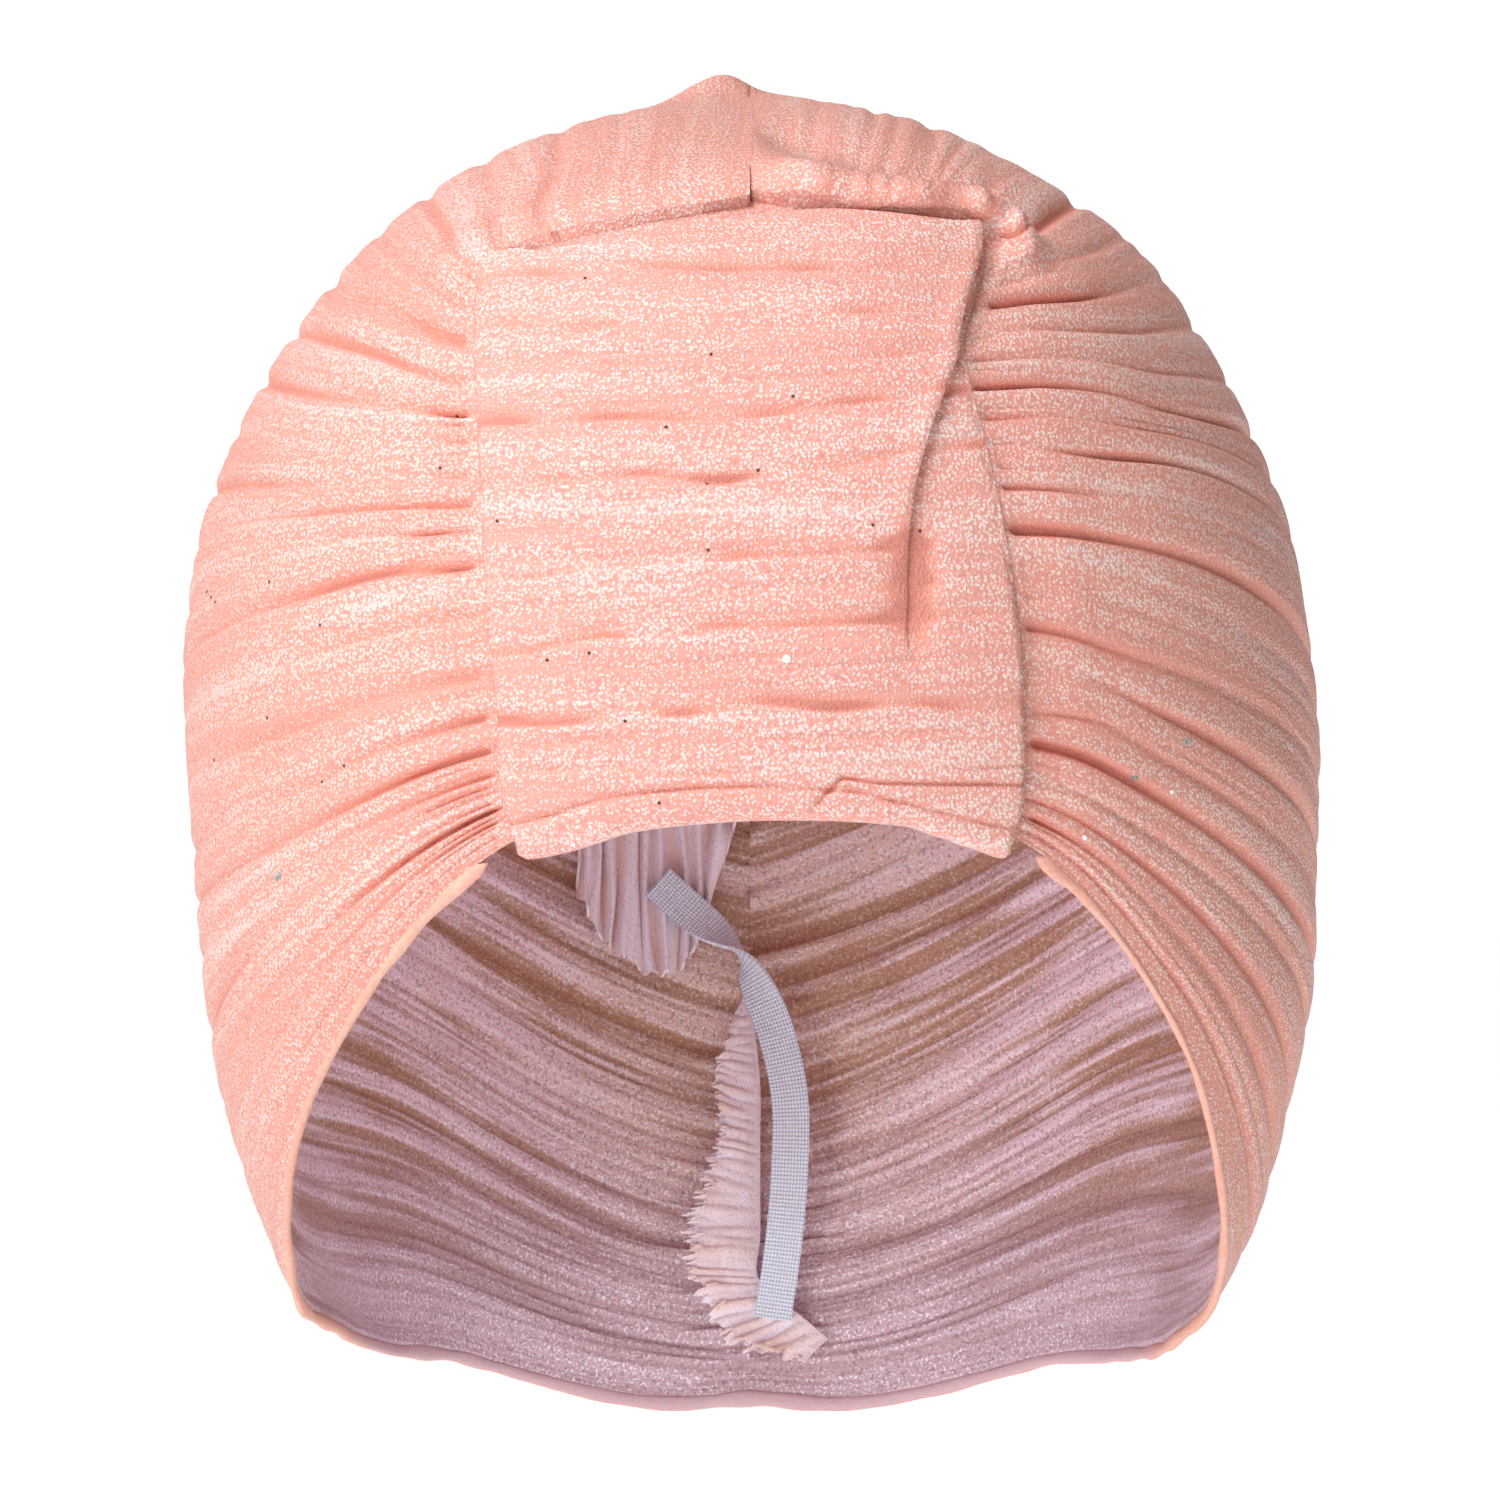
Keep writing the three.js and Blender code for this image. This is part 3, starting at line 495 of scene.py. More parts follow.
@dataclass(frozen=True)
class Sock:
    """A shader socket with arithmetic: each operator adds the Math node that does it."""

    tree: bpy.types.NodeTree
    socket: Any

    def _math(self, operation: str, *values: Any, clamp: bool = False) -> "Sock":
        """Adds a Math node on values, each a Sock or a number."""
        settings = {"operation": operation, "use_clamp": clamp}
        return add_node(self.tree, "Math", 0, settings, dict(enumerate(values)))

    def __add__(self, other: Any) -> "Sock":
        """Sum."""
        return self._math("ADD", self, other)

    def __sub__(self, other: Any) -> "Sock":
        """Difference."""
        return self._math("SUBTRACT", self, other)

    def __rsub__(self, other: Any) -> "Sock":
        """Difference the other way round."""
        return self._math("SUBTRACT", other, self)

    def __mul__(self, other: Any) -> "Sock":
        """Product."""
        return self._math("MULTIPLY", self, other)

    __radd__, __rmul__ = __add__, __mul__

    def __abs__(self) -> "Sock":
        """Absolute value."""
        return self._math("ABSOLUTE", self)

    def sin(self) -> "Sock":
        """Sine."""
        return self._math("SINE", self)

    def clamp(self) -> "Sock":
        """Held between 0 and 1."""
        return self._math("ADD", self, 0.0, clamp=True)

    def step(self, low: float, high: float) -> "Sock":
        """Smooth rise from 0 at low to 1 at high."""
        ends = {"Value": self, "From Min": low, "From Max": high}
        return add_node(self.tree, "MapRange", "Result", {"interpolation_type": "SMOOTHSTEP"}, ends)


def fill(tree: bpy.types.NodeTree, node: bpy.types.Node, values: dict[Any, Any]) -> None:
    """Sets or links a node's sockets, each found by its name or number. A colour gets its alpha."""
    for key, value in values.items():
        slot = node.inputs[key]
        if isinstance(value, Sock):
            tree.links.new(value.socket, slot)
        else:
            slot.default_value = (*value, 1.0) if slot.type == "RGBA" else value


def add_node(tree: bpy.types.NodeTree, kind: str, out: str | int, settings: dict, values: dict) -> Sock:
    """Adds a node: its settings first, then the values or links of its sockets.

    Args:
        tree: the graph.
        kind: the node's type, without the shader prefix.
        out: name or number of the output wanted.
        settings: attributes of the node.
        values: socket name or number to number, colour or Sock.

    Returns:
        The wanted output.
    """
    node = tree.nodes.new("ShaderNode" + kind)
    for key, value in settings.items():
        setattr(node, key, value)
    fill(tree, node, values)
    return Sock(tree, node.outputs[out])


Colour = tuple[float, float, float]


class Finish:
    """One material's node graph, with a Principled shader at its end."""

    def __init__(self, name: str) -> None:
        """Makes an empty material with its shader."""
        self.material = bpy.data.materials.new(name)
        self.material.use_nodes = True
        self.tree = self.material.node_tree
        self.shader = next(n for n in self.tree.nodes if n.type == "BSDF_PRINCIPLED")

    def node(self, kind: str, out: str | int, settings: dict, values: dict) -> Sock:
        """Adds a node to this material, as add_node does."""
        return add_node(self.tree, kind, out, settings, values)

    def mix(self, low: Any, high: Any, factor: Sock) -> Sock:
        """Colour mix of low and high, each a colour or a Sock."""
        return self.node("Mix", 2, {"data_type": "RGBA"}, {0: factor, 6: low, 7: high})

    def axis(self, vector: Sock, number: int) -> Sock:
        """One number of a vector."""
        return self.node("SeparateXYZ", number, {}, {0: vector})

    def place(self) -> Sock:
        """Object coordinates, in metres."""
        return self.node("TexCoord", "Object", {}, {})

    def cloth(self, along: float, across: float) -> Sock:
        """The sheet's own coordinates, scaled along and across the pleats."""
        uv = self.node("UVMap", "UV", {"uv_map": "cloth"}, {})
        return self.node("Mapping", "Vector", {}, {"Vector": uv, "Scale": (along, across, 1.0)})

    def crease(self) -> Sock:
        """How deep in a crease the point lies."""
        return self.node("Attribute", "Fac", {"attribute_name": "crease"}, {})

    def noise(self, vector: Sock, scale: float, detail: float = 2.0, distortion: float = 0.0) -> Sock:
        """Noise in 0..1 over a vector."""
        values = {"Vector": vector, "Scale": scale, "Detail": detail, "Distortion": distortion}
        return self.node("TexNoise", "Fac", {}, values)

    def wire(self, colour: Sock, rough: Sock | float, height: Sock, depth: float, **fixed: float) -> None:
        """Joins colour, roughness and bump to the shader, and sets its fixed sockets.

        Args:
            colour: base colour.
            rough: roughness, a number or a Sock.
            height: relief in 0..1.
            depth: depth of that relief in metres.
            fixed: further sockets by name, with underscores for spaces.
        """
        bump = self.node("Bump", "Normal", {}, {"Height": height, "Distance": depth, "Strength": 1.0})
        fill(self.tree, self.shader, {"Base Color": colour, "Roughness": rough, "Normal": bump})
        fill(self.tree, self.shader, {key.replace("_", " "): value for key, value in fixed.items()})


@dataclass(frozen=True)
class CrepeOut:
    """The shimmering right side of the crepe: fine white crinkle over peach, the yarn's pale threads with
    painted glitter glints, and painted shade in the creases.
    """

    name: str = "crepe_outside"
    ground: Colour = (0.82, 0.35, 0.28)
    # light: the pale crinkle, partly the yarn's own pale threads, partly painted glitter glints
    light: Colour = (0.94, 0.71, 0.67)
    # dark: darker grain in the crinkle, and also the painted shade of the deepest creases
    dark: Colour = (0.60, 0.22, 0.19)
    # deep: painted shade in the creases, a saturated orange
    deep: Colour = (0.84, 0.28, 0.185)
    crinkle: float = 1600.0
    depth: float = 0.00010

    def build(self) -> bpy.types.Material:
        """Makes the material: a squiggly crinkle with painted glints, lines along the pleats, and painted
        shade in the creases.
        """
        f = Finish(self.name)
        place = f.place()
        squiggle = 1 - abs(f.noise(place, self.crinkle * 0.8, 0.0) - 0.5) * 4.0
        values = {"Vector": place, "Scale": self.crinkle, "Randomness": 0.9}
        cell = f.node("TexVoronoi", "Distance", {}, values)
        grain = (0.62 - cell).step(0.0, 0.42)
        lines = f.noise(f.cloth(40, 900), 1.0, 1.0)
        cloud = f.noise(place, 60.0, 1.0)
        streak = f.noise(f.cloth(7, 150), 1.0, 1.0)
        white = squiggle.clamp() * 0.35 + grain * 0.85 + (lines - 0.5) * 1.0 + (streak - 0.5) * 1.5
        white = (white - 0.2).step(0.05, 1.0)
        crease = f.crease().step(0.15, 1.0)
        # pale crinkle: the yarn's pale threads with painted glitter glints
        tint = f.mix(self.ground, self.light, white)
        tint = f.mix(tint, self.dark, ((lines * 0.6 + cell) - 0.9).step(0.0, 0.35) * 0.5)
        # painted shade: deep orange in the creases
        tint = f.mix(tint, self.deep, (crease * 0.85 + (cloud - 0.5) * 0.35 * crease).clamp())
        # painted shade: darker still in the deepest creases
        tint = f.mix(tint, self.dark, crease.step(0.55, 1.1) * 0.55)
        height = grain * 0.5 + lines * 0.5
        f.wire(tint, 0.62 - white * 0.22, height, self.depth * 2.2, Specular_IOR_Level=0.5)
        return f.material


@dataclass(frozen=True)
class CrepeIn:
    """The wrong side: a painted lilac-pink sheen on the folds that face in, painted brown-orange shade
    between, with tiny net holes and painted glints.
    """

    name: str = "crepe_inside"
    # fold: a painted lilac-pink sheen on the folds that face in
    fold: Colour = (0.95, 0.66, 0.79)
    # pale: painted highlights and glints
    pale: Colour = (1.0, 0.92, 1.0)
    # gap: painted brown-orange shade in the gaps between the folds
    gap: Colour = (0.50, 0.25, 0.16)
    low: Colour = (0.58, 0.40, 0.50)
    tan: Colour = (0.88, 0.60, 0.50)
    hole: Colour = (0.22, 0.10, 0.09)
    net: float = 1500.0

    def build(self) -> bpy.types.Material:
        """Makes the material: the painted sheen and shade follow the creases, the net is small cells of
        noise, and painted highlights and glints lie on top.
        """
        f = Finish(self.name)
        place = f.place()
        crease = f.crease()
        cloud = f.noise(place, 38.0, 1.0)
        lines = f.noise(f.cloth(30, 700), 1.0, 1.0)
        net = f.noise(place, self.net, 0.0)
        # painted glints: tiny pale spots of glitter light
        painted_glint = f.noise(place, self.net * 1.3, 0.0).step(0.54, 0.74)
        bands = f.noise(f.cloth(5, 60), 1.0, 1.0)
        middle = f.noise(f.cloth(12, 240), 1.0, 1.0)
        # inward: 1 on a fold that faces in, 0 in a gap; it sets painted sheen against painted shade
        inward = crease + (lines - 0.5) * 1.3 + (cloud - 0.5) * 0.8
        inward = inward + (bands - 0.5) * 1.4 + (middle - 0.5) * 1.6
        inward = (inward - 0.1).step(0.1, 0.9)
        nape = (f.axis(place, 2) * -1.0).step(0.055, 0.115)
        warm = (1 - abs(f.axis(place, 0)).step(0.008, 0.065)) * 0.8 + (cloud - 0.5) * 1.2
        # painted shade in the gaps, painted lilac-pink sheen on the folds, turning tan near the middle
        tint = f.mix(self.gap, f.mix(self.fold, self.tan, warm.clamp()), inward)
        # painted highlights on the crests of the lines
        tint = f.mix(tint, self.pale, lines.step(0.52, 0.72) * inward * 0.4)
        tint = f.mix(tint, self.low, nape * 0.7)
        # painted glints, mostly on the folds
        tint = f.mix(tint, self.pale, painted_glint * (inward * 0.7 + 0.3) * 0.95)
        tint = f.mix(tint, self.hole, (0.42 - net).step(0.0, 0.12) * 0.4)
        height = lines
        f.wire(tint, 0.66, height, 0.0003)
        return f.material


@dataclass(frozen=True)
class HemCloth:
    """The rolled hem: closer, smoother peach cloth."""

    name: str = "hem_cloth"
    ground: Colour = (0.84, 0.38, 0.28)
    light: Colour = (0.90, 0.52, 0.42)
    nape: Colour = (0.66, 0.46, 0.54)

    def build(self) -> bpy.types.Material:
        """Makes the material: fine grain over peach."""
        f = Finish(self.name)
        place = f.place()
        grain = f.noise(place, 1100.0, 2.0)
        cloud = f.noise(place, 90.0, 2.0)
        tint = f.mix(self.ground, self.light, (grain * 0.8 + cloud * 0.5).step(0.35, 0.95))
        inner = f.axis(place, 1).step(-0.01, 0.05) * f.crease().step(0.3, 0.6)
        tint = f.mix(tint, self.nape, inner * (grain * 0.4 + 0.6))
        f.wire(tint, 0.6, grain, 0.0002)
        return f.material


@dataclass(frozen=True)
class RawCrepe:
    """The frayed wrong side of the seam allowance: pale pink-lilac, peach where it turns."""

    name: str = "raw_crepe"
    ground: Colour = (0.88, 0.60, 0.52)
    light: Colour = (1.0, 0.90, 1.0)
    hole: Colour = (0.60, 0.38, 0.36)

    def build(self) -> bpy.types.Material:
        """Makes the material: net grain, tinted by the folds."""
        f = Finish(self.name)
        place = f.place()
        net = f.noise(place, 1800.0, 1.0)
        lines = f.noise(f.cloth(60, 500), 1.0, 2.0)
        fold = (f.crease() * 0.7 + lines * 0.6).step(0.3, 1.25)
        tint = f.mix(self.light, self.ground, fold)
        tint = f.mix(tint, self.hole, (0.42 - net).step(0.0, 0.12) * 0.4)
        f.wire(tint, 0.62, lines * 0.6 + net * 0.6, 0.0003)
        return f.material


@dataclass(frozen=True)
class Elastic:
    """Knitted elastic tape: small slanting stitches in white and lilac."""

    name: str = "knitted_elastic"
    ground: Colour = (0.60, 0.64, 1.0)
    light: Colour = (0.94, 0.97, 1.0)

    def build(self) -> bpy.types.Material:
        """Makes the material: two crossing sines over the tape's own coordinates make the stitches."""
        f = Finish(self.name)
        uv = f.node("UVMap", "UV", {"uv_map": "cloth"}, {})
        u, v = f.axis(uv, 0), f.axis(uv, 1)
        pitch = 2 * math.pi / 0.0012
        one = ((u * 0.8 + v) * pitch).sin()
        two = ((u * 0.8 - v) * pitch).sin()
        stitch = (one * two * 0.5 + 0.5).clamp()
        tint = f.mix(self.ground, self.light, stitch.step(0.05, 0.7))
        f.wire(tint, 0.7, stitch, 0.0003)
        return f.material


@dataclass(frozen=True)
class Plain:
    """A small speck's finish: one colour broken by grain."""

    name: str
    low: Colour
    high: Colour
    rough: float = 0.6

    def build(self) -> bpy.types.Material:
        """Makes the material: fine grain between two colours."""
        f = Finish(self.name)
        grain = f.noise(f.place(), 2500.0, 2.0)
        f.wire(f.mix(self.low, self.high, grain), self.rough, grain, 0.0001)
        return f.material


def join(obj: bpy.types.Object, node: str, slot: str, *finishes: bpy.types.Material) -> bpy.types.Object:
    """Puts a piece on the hat.

    Args:
        obj: the piece.
        node: the CAD node that it replaces, or an empty string.
        slot: its material slot; not used.
        finishes: its materials, in order.

    Returns:
        The piece.
    """
    for finish in finishes:
        obj.data.materials.append(finish)
    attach(obj, "root")
    if node:
        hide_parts(node)
    areas = np.empty(len(obj.data.polygons))
    obj.data.polygons.foreach_get("area", areas)
    LOG.info("%s: half its surface is %.5f m2", obj.name, areas.sum() / 2)
    return obj


@dataclass
class Crown:
    """The pleated shell, made as a left and a right half that meet along the ridge and the back seam."""

    relief: Relief = field(default_factory=Relief)
    rows: int = 392
    cols: int = 124
    thick: float = 0.8
    deep: float = 270.0
    stops: tuple[tuple[float, float], ...] = (
        (0.0, 0.0), (0.06, 0.7), (0.1, 0.985), (0.105, 1.0), (0.36, 1.6), (0.52, 2.2), (0.66, 3.0),
        (0.8, 4.0), (0.93, 4.8), (1.0, 5.0),
    )
    lap: tuple[tuple[float, float, float], ...] = (
        (0.0, 0.0, 0.0), (0.1, 1.8, 0.9), (0.22, 3.4, 2.2), (0.38, 3.4, 3.0), (0.55, 1.6, 2.6),
        (0.78, 0.3, 0.7), (1.0, 0.0, 0.0),
    )

    def lapped(self, g: Grid, base: Array, off: Array) -> tuple[Array, Array]:
        """Rolls the right half's cloth forward and down over the band's top edge.

        Just past the band's edge the cloth is let down by drop and stands off by high, both by the table.

        Args:
            g: the grid.
            base: points of the form.
            off: offsets of the outer face.

        Returns:
            The new points of the form and the new offsets.
        """
        drop, high = table(self.lap)
        q = np.clip((g.t - 1.0) / 0.62, 0, 1)
        strength = ease(g.a / 0.035) * (1 - ease((g.a - 0.2) / 0.06)) * (g.t > 1.0)
        sway = 1 + 0.22 * ripple(g.a * 16, g.t * 0.3, 61)
        moved = base.copy()
        moved[..., 2] -= strength * drop(q) * sway
        extra = strength * high(q) * sway
        return moved, off * (1 - 0.5 * strength * ease(q * 4) * (1 - q)) + extra

    def half(self, side: Side) -> Cloth:
        """One half of the shell.

        The outer wall is the form plus the relief; the inner wall follows it at the cloth's thickness.
        """
        keys, values = zip(*self.stops)
        s = np.interp(np.linspace(0, 1, self.cols + 1), keys, values)
        g = Grid(np.linspace(0, 1, self.rows + 1), s, side)
        off, crease = self.relief.offset(g)
        base = FORM.on(RUN.ray(g))
        off = off + peak_off(base)
        if side is Side.RIGHT:
            base, off = self.lapped(g, base, off)
        within, fold = self.relief.lining(g, off, self.thick)
        step = np.zeros((self.rows + 1, self.cols + 1))
        step[:, 1:] = length(base[:, 1:] - base[:, :-1])[..., 0]
        along = np.cumsum(step, axis=1)
        across = g.a * self.deep + np.zeros_like(along)
        name = "crown_left" if side is Side.LEFT else "crown_right"
        return Cloth(name, FORM.on(base, off), FORM.on(base, within), along, across, crease, fold)

    def build(self, outside: bpy.types.Material, inside: bpy.types.Material) -> list[bpy.types.Object]:
        """Makes and dresses both halves."""
        made = []
        for side in Side:
            obj = join(self.half(side).mesh(), "crown", "crown_crepe", outside, inside)
            made.append(obj)
        return made


@dataclass
class FrontBand:
    """The wide strip over the gathered front, with its diagonal fold and its turned lower edge.

    sides columns: z; left edge, right edge and the diagonal edge of the top layer, in x.
    ends columns: x; top and bottom edge, in z.
    """

    out: float = 2.6
    under: float = 1.05
    gap: float = 0.5
    rows: int = 230
    left_cols: int = 120
    right_cols: int = 44
    turn_rows: int = 16
    in_rows: int = 6
    sides: tuple[tuple[float, float, float, float], ...] = (
        (90, -43.5, 38.8, 38.0), (81, -44.6, 38.7, 37.9), (76, -44.8, 37.4, 36.6),
        (66, -44.8, 34.6, 33.4), (60, -44.6, 35.4, 31.2), (50, -43.9, 37.8, 27.4),
        (38, -43.2, 40.4, 24.6), (21, -42.0, 43.0, 24.6), (7, -40.6, 43.8, 25.5),
        (-8, -39.6, 43.7, 26.0), (-16, -37.0, 41.4, 24.0),
    )
    ends: tuple[tuple[float, float, float], ...] = (
        (-45, 75.5, -15.6), (-39, 80.6, -15.2), (-33, 80.4, -13.9), (-23, 83.8, -10.9),
        (-9, 86.2, -9.2), (1, 87.2, -9.0), (15, 85.6, -9.6), (24, 84.2, -11.5), (33, 81.6, -13.8),
        (40, 78.6, -15.4),
    )
    pleats: tuple[tuple[float, float, float, float, float], ...] = (
        (76, 77, 77.5, 0.7, 1.0), (68, 69, 71, 0.5, 1.2), (60.5, 62, 63, 0.35, 0.9),
        (51.5, 53, 58, 0.8, 1.0), (42.5, 43, 49, 0.75, 1.0), (36, 37.5, 41, 0.35, 1.2),
        (27.5, 30, 34, 0.6, 1.0), (22, 24, 27, 0.4, 1.0), (14.5, 19.5, 21.5, 0.7, 1.1),
        (4, 6.5, 7.5, 0.9, 1.1), (0, 1.5, 2.5, 0.4, 0.8), (-4, -3.5, -2.8, 0.45, 0.8),
    )

    def surface(self) -> Cloth:
        """The strip: down the outside, round the rim and up the inside."""
        left, right, fold = table(self.sides)
        top, bottom = table(self.ends)
        cols = self.left_cols + 1 + self.right_cols
        total = self.rows + self.turn_rows + self.in_rows
        i = np.arange(total + 1)[:, None] + np.zeros((1, cols + 1))
        j = np.arange(cols + 1)[None, :] + np.zeros((total + 1, 1))
        down = np.clip(i / self.rows, 0, 1)
        nominal = blend(-42.0, 40.0, j / cols)
        z = blend(top(nominal), bottom(nominal), down)
        l, r = left(z), right(z)
        edge = np.minimum(fold(z), r - 2.2)
        over = j <= self.left_cols
        x = np.where(
            over,
            blend(l, edge, j / self.left_cols),
            blend(edge + 0.2, r, (j - self.left_cols - 1) / self.right_cols),
        )
        layered = ease((z - 12) / 26)
        round_edge = bell((edge - x) / 2.2, 1.0) * over
        under = blend(self.out, self.under, layered)
        outer_off = np.where(over, self.out + 0.7 * round_edge * layered, under)
        outer_off = outer_off - 1.1 * bell(np.where(over, edge - x, 9.0), 0.5) * layered * 0.4
        x = x + np.where(over, 0.9 * layered * bell(edge - x, 2.0), 0.0)
        relief = np.zeros_like(x)
        crease = np.zeros_like(x)
        for zl, zm, zr, deep, wide in self.pleats:
            line = np.interp(x, [-45, -3, 40], [zl, zm, zr]) + 0.5 * ripple(x / 30, x * 0 + zl, 5, 5)
            gone = 0.7 + 0.3 * ripple(x / 22, x * 0 + zl * 0.7, 6, 5)
            dip = deep * gone * np.where(z > line, bell(z - line, wide * 1.6), bell(z - line, wide * 0.6))
            relief = relief - dip
            crease = crease + dip
        slant = z - 0.05 * x
        relief = relief + 0.16 * ripple(x / 60, slant / 3.1, 8) + 0.05 * ripple(x / 30, slant / 1.5, 9)
        dent = -1.3 * bell((x - 25.5) / 4.0, 1.0) * bell((z - 27) / 11.0, 1.0)
        hem = -0.7 * bell((z - bottom(x) - 3.2) / 0.5, 1) + 0.35 * bell((z - bottom(x) - 1.4) / 1.4, 1)
        calm = ease(down / 0.03)
        base = FORM.at(x, z, -1)
        sides_thin = 1 - 0.55 * bell((x - l) / 0.9, 1.0) - 0.55 * bell((r - x) / 0.7, 1.0)
        seam_line = np.interp(x, [9, 10.5, 14.5, 20, 45], [-9.5, -8.4, -4.4, -5.2, -5.6])
        lap_step = -0.8 * bell((z - seam_line) / 0.5, 1) * ease((x - 9.5) / 1.5)
        off = np.maximum(outer_off * sides_thin + (relief + dent + hem + lap_step) * calm, self.gap + 0.25)
        outer = FORM.on(base, off)
        inner = FORM.on(base, self.gap - 0.3)
        turn = i > self.rows
        wrap = np.clip((i - self.rows) / self.turn_rows, 0, 1)
        in_wall = -2.2
        mid = (self.gap + in_wall) / 2
        small = (self.gap - in_wall) / 2
        angle = math.pi * wrap
        for wall, radius in ((outer, blend(off - mid, small + 1.0, wrap)), (inner, small)):
            bent = FORM.on(base, mid + radius * np.cos(angle))
            bent[..., 2] -= radius * np.sin(angle) * 0.8
            wall[turn] = bent[turn]
        up = np.clip((i - self.rows - self.turn_rows) / self.in_rows, 0, 1) * 9.0
        high = up > 0
        inside_base = FORM.at(x, z + up, -1)
        outer[high] = FORM.on(inside_base, in_wall - 1.0)[high]
        inner[high] = FORM.on(inside_base, in_wall)[high]
        across = 90.0 - z + np.where(turn, wrap * 6 + up, 0)
        # the crease value, from the pleat dips, the dent, the lapped seam line and the hem, sets where the
        # band's crepe paints shade
        crease = crease - 0.8 * dent - lap_step + 0.5 * bell((z - bottom(x) - 3.2) / 0.7, 1)
        return Cloth("front_band_cloth", outer, inner, x + 50.0, across, np.clip(crease / 0.8, 0, 1))

    def build(self, outside: bpy.types.Material, inside: bpy.types.Material) -> bpy.types.Object:
        obj = join(self.surface().mesh(), "front_band", "band_crepe", outside, inside)
        return obj


@dataclass
class RimHem:
    """The rolled hem under the rim, from one bottom corner of the band round to the other."""

    wide: float = 2.6
    start: float = 1.1
    steps: int = 420
    ring: int = 12

    def build(self, relief: Relief, cloth: bpy.types.Material) -> bpy.types.Object:
        """Makes the roll: an oval ring carried along the rim, closed at its ends by a shrunken ring."""
        middles, outs, downs = [], [], []
        for side in (Side.LEFT, Side.RIGHT):
            s = np.linspace(self.start, 5.0, self.steps // 2)
            rim = FORM.on(RUN.ray(Grid(np.array([0.97, 1.0]), s, side)))
            off, _ = relief.offset(Grid(np.array([0.985, 1.0]), s, side))
            down = rim[1] - rim[0]
            down = down / length(down)
            out = rim[1] / length(rim[1])
            middle = rim[1] + out * (off[1] - 0.4)[:, None] + down * 0.9
            order = slice(None) if side is Side.LEFT else slice(None, None, -1)
            middles.append(middle[order])
            outs.append(out[order])
            downs.append(down[order])
        middle, out, down = (np.concatenate([a[0], a[1][1:]]) for a in (middles, outs, downs))
        n = len(middle)
        turn = np.linspace(0, 2 * math.pi, self.ring, endpoint=False)
        swell = 1 + 0.12 * ripple(np.arange(n) / 9.0, np.zeros(n), 3)
        ends = np.minimum(1, np.minimum(np.arange(n), n - 1 - np.arange(n)) / 2.0 + 0.05)
        size = (swell * ends)[:, None, None]
        rings = (
            middle[:, None]
            + out[:, None] * (0.95 * np.cos(turn))[None, :, None] * size
            + down[:, None] * (self.wide / 2 * np.sin(turn))[None, :, None] * size
        )
        return join(tube("rim_hem_roll", rings), "rim_hem", "hem_crepe", cloth)


def tube(name: str, rings: Array) -> bpy.types.Object:
    """A closed tube from rings of points in millimetres, with a crease of 1 on its inner side.

    Args:
        name: the object's name.
        rings: points of shape (n, k, 3), with k even.

    Returns:
        The object, with the cloth coordinates along and round it.
    """
    n, k = rings.shape[:2]
    number = np.arange(n * k).reshape(n, k)
    nxt = np.roll(number, -1, axis=1)
    side = np.stack([number[:-1].ravel(), number[1:].ravel(), nxt[1:].ravel(), nxt[:-1].ravel()], 1)
    i = np.arange(k // 2 - 1)
    cap = np.stack([i, i + 1, k - 2 - i, k - 1 - i], 1)
    faces = np.concatenate([side, cap, cap[:, ::-1] + (n - 1) * k])
    uv = np.stack([number.ravel() // k * 1.5, number.ravel() % k * 0.6], 1)
    inward = (1 - np.cos(np.linspace(0, 2 * math.pi, k, endpoint=False))) / 2
    return piece(name, rings.reshape(-1, 3), faces, uv, np.tile(inward, n), len(faces))


def leaf(name: str, mid: Array, thick: float, along: Array, across: Array, crease: Array) -> bpy.types.Object:
    """A thin closed sheet round one middle surface: half the thickness to each side along its normals."""
    over = np.gradient(mid, axis=1)
    down = np.gradient(mid, axis=0)
    normal = np.cross(down, over)
    normal = normal / np.maximum(length(normal), 1e-9)
    return Cloth(name, mid + normal * thick / 2, mid - normal * thick / 2, along, across, crease).mesh()


@dataclass
class ElasticTape:
    """The woven elastic inside the back.

    run columns: share of its length; x; z; millimetres in from the form; degrees turned from face-on.
    """

    wide: float = 7.0
    thick: float = 0.7
    run: tuple[tuple[float, ...], ...] = (
        (0.0, -19.5, -28, 11.4, 0), (0.12, -12.5, -34.5, 12.0, 10), (0.24, -4, -42, 13.6, 70),
        (0.33, 0.5, -49.5, 15.5, 140), (0.45, 5.4, -61, 16, 180), (0.6, 8.6, -75.5, 16, 180),
        (0.75, 8.4, -91, 15.5, 180), (0.88, 6.8, -104, 12.8, 180), (1.0, 4.6, -116, 10.4, 180),
    )

    def build(self, knit: bpy.types.Material) -> bpy.types.Object:
        """Makes the tape: its width turns about its path through the twist."""
        x, z, depth, turn = table(self.run)
        f = np.linspace(0, 1, 160)
        spine = FORM.inside(x(f), z(f), depth(f))
        along = np.gradient(spine, axis=0)
        along = along / length(along)
        flat = np.cross(along, np.array([0.0, 1.0, 0.0]))
        flat = flat / length(flat)
        up = np.cross(flat, along)
        w = np.radians(turn(f))[:, None]
        wide = flat * np.cos(w) + up * np.sin(w)
        lane = np.linspace(-0.5, 0.5, 13)
        mid = spine[:, None] + wide[:, None] * (lane * self.wide)[None, :, None]
        run = np.concatenate([[0], np.cumsum(length(spine[1:] - spine[:-1])[:, 0])])
        u = run[:, None] + 0 * lane[None, :]
        v = (lane * self.wide)[None, :] + 0 * run[:, None]
        obj = leaf("elastic_tape_knit", mid, self.thick, u, v, 0 * u)
        return join(obj, "elastic_tape", "elastic", knit, knit)


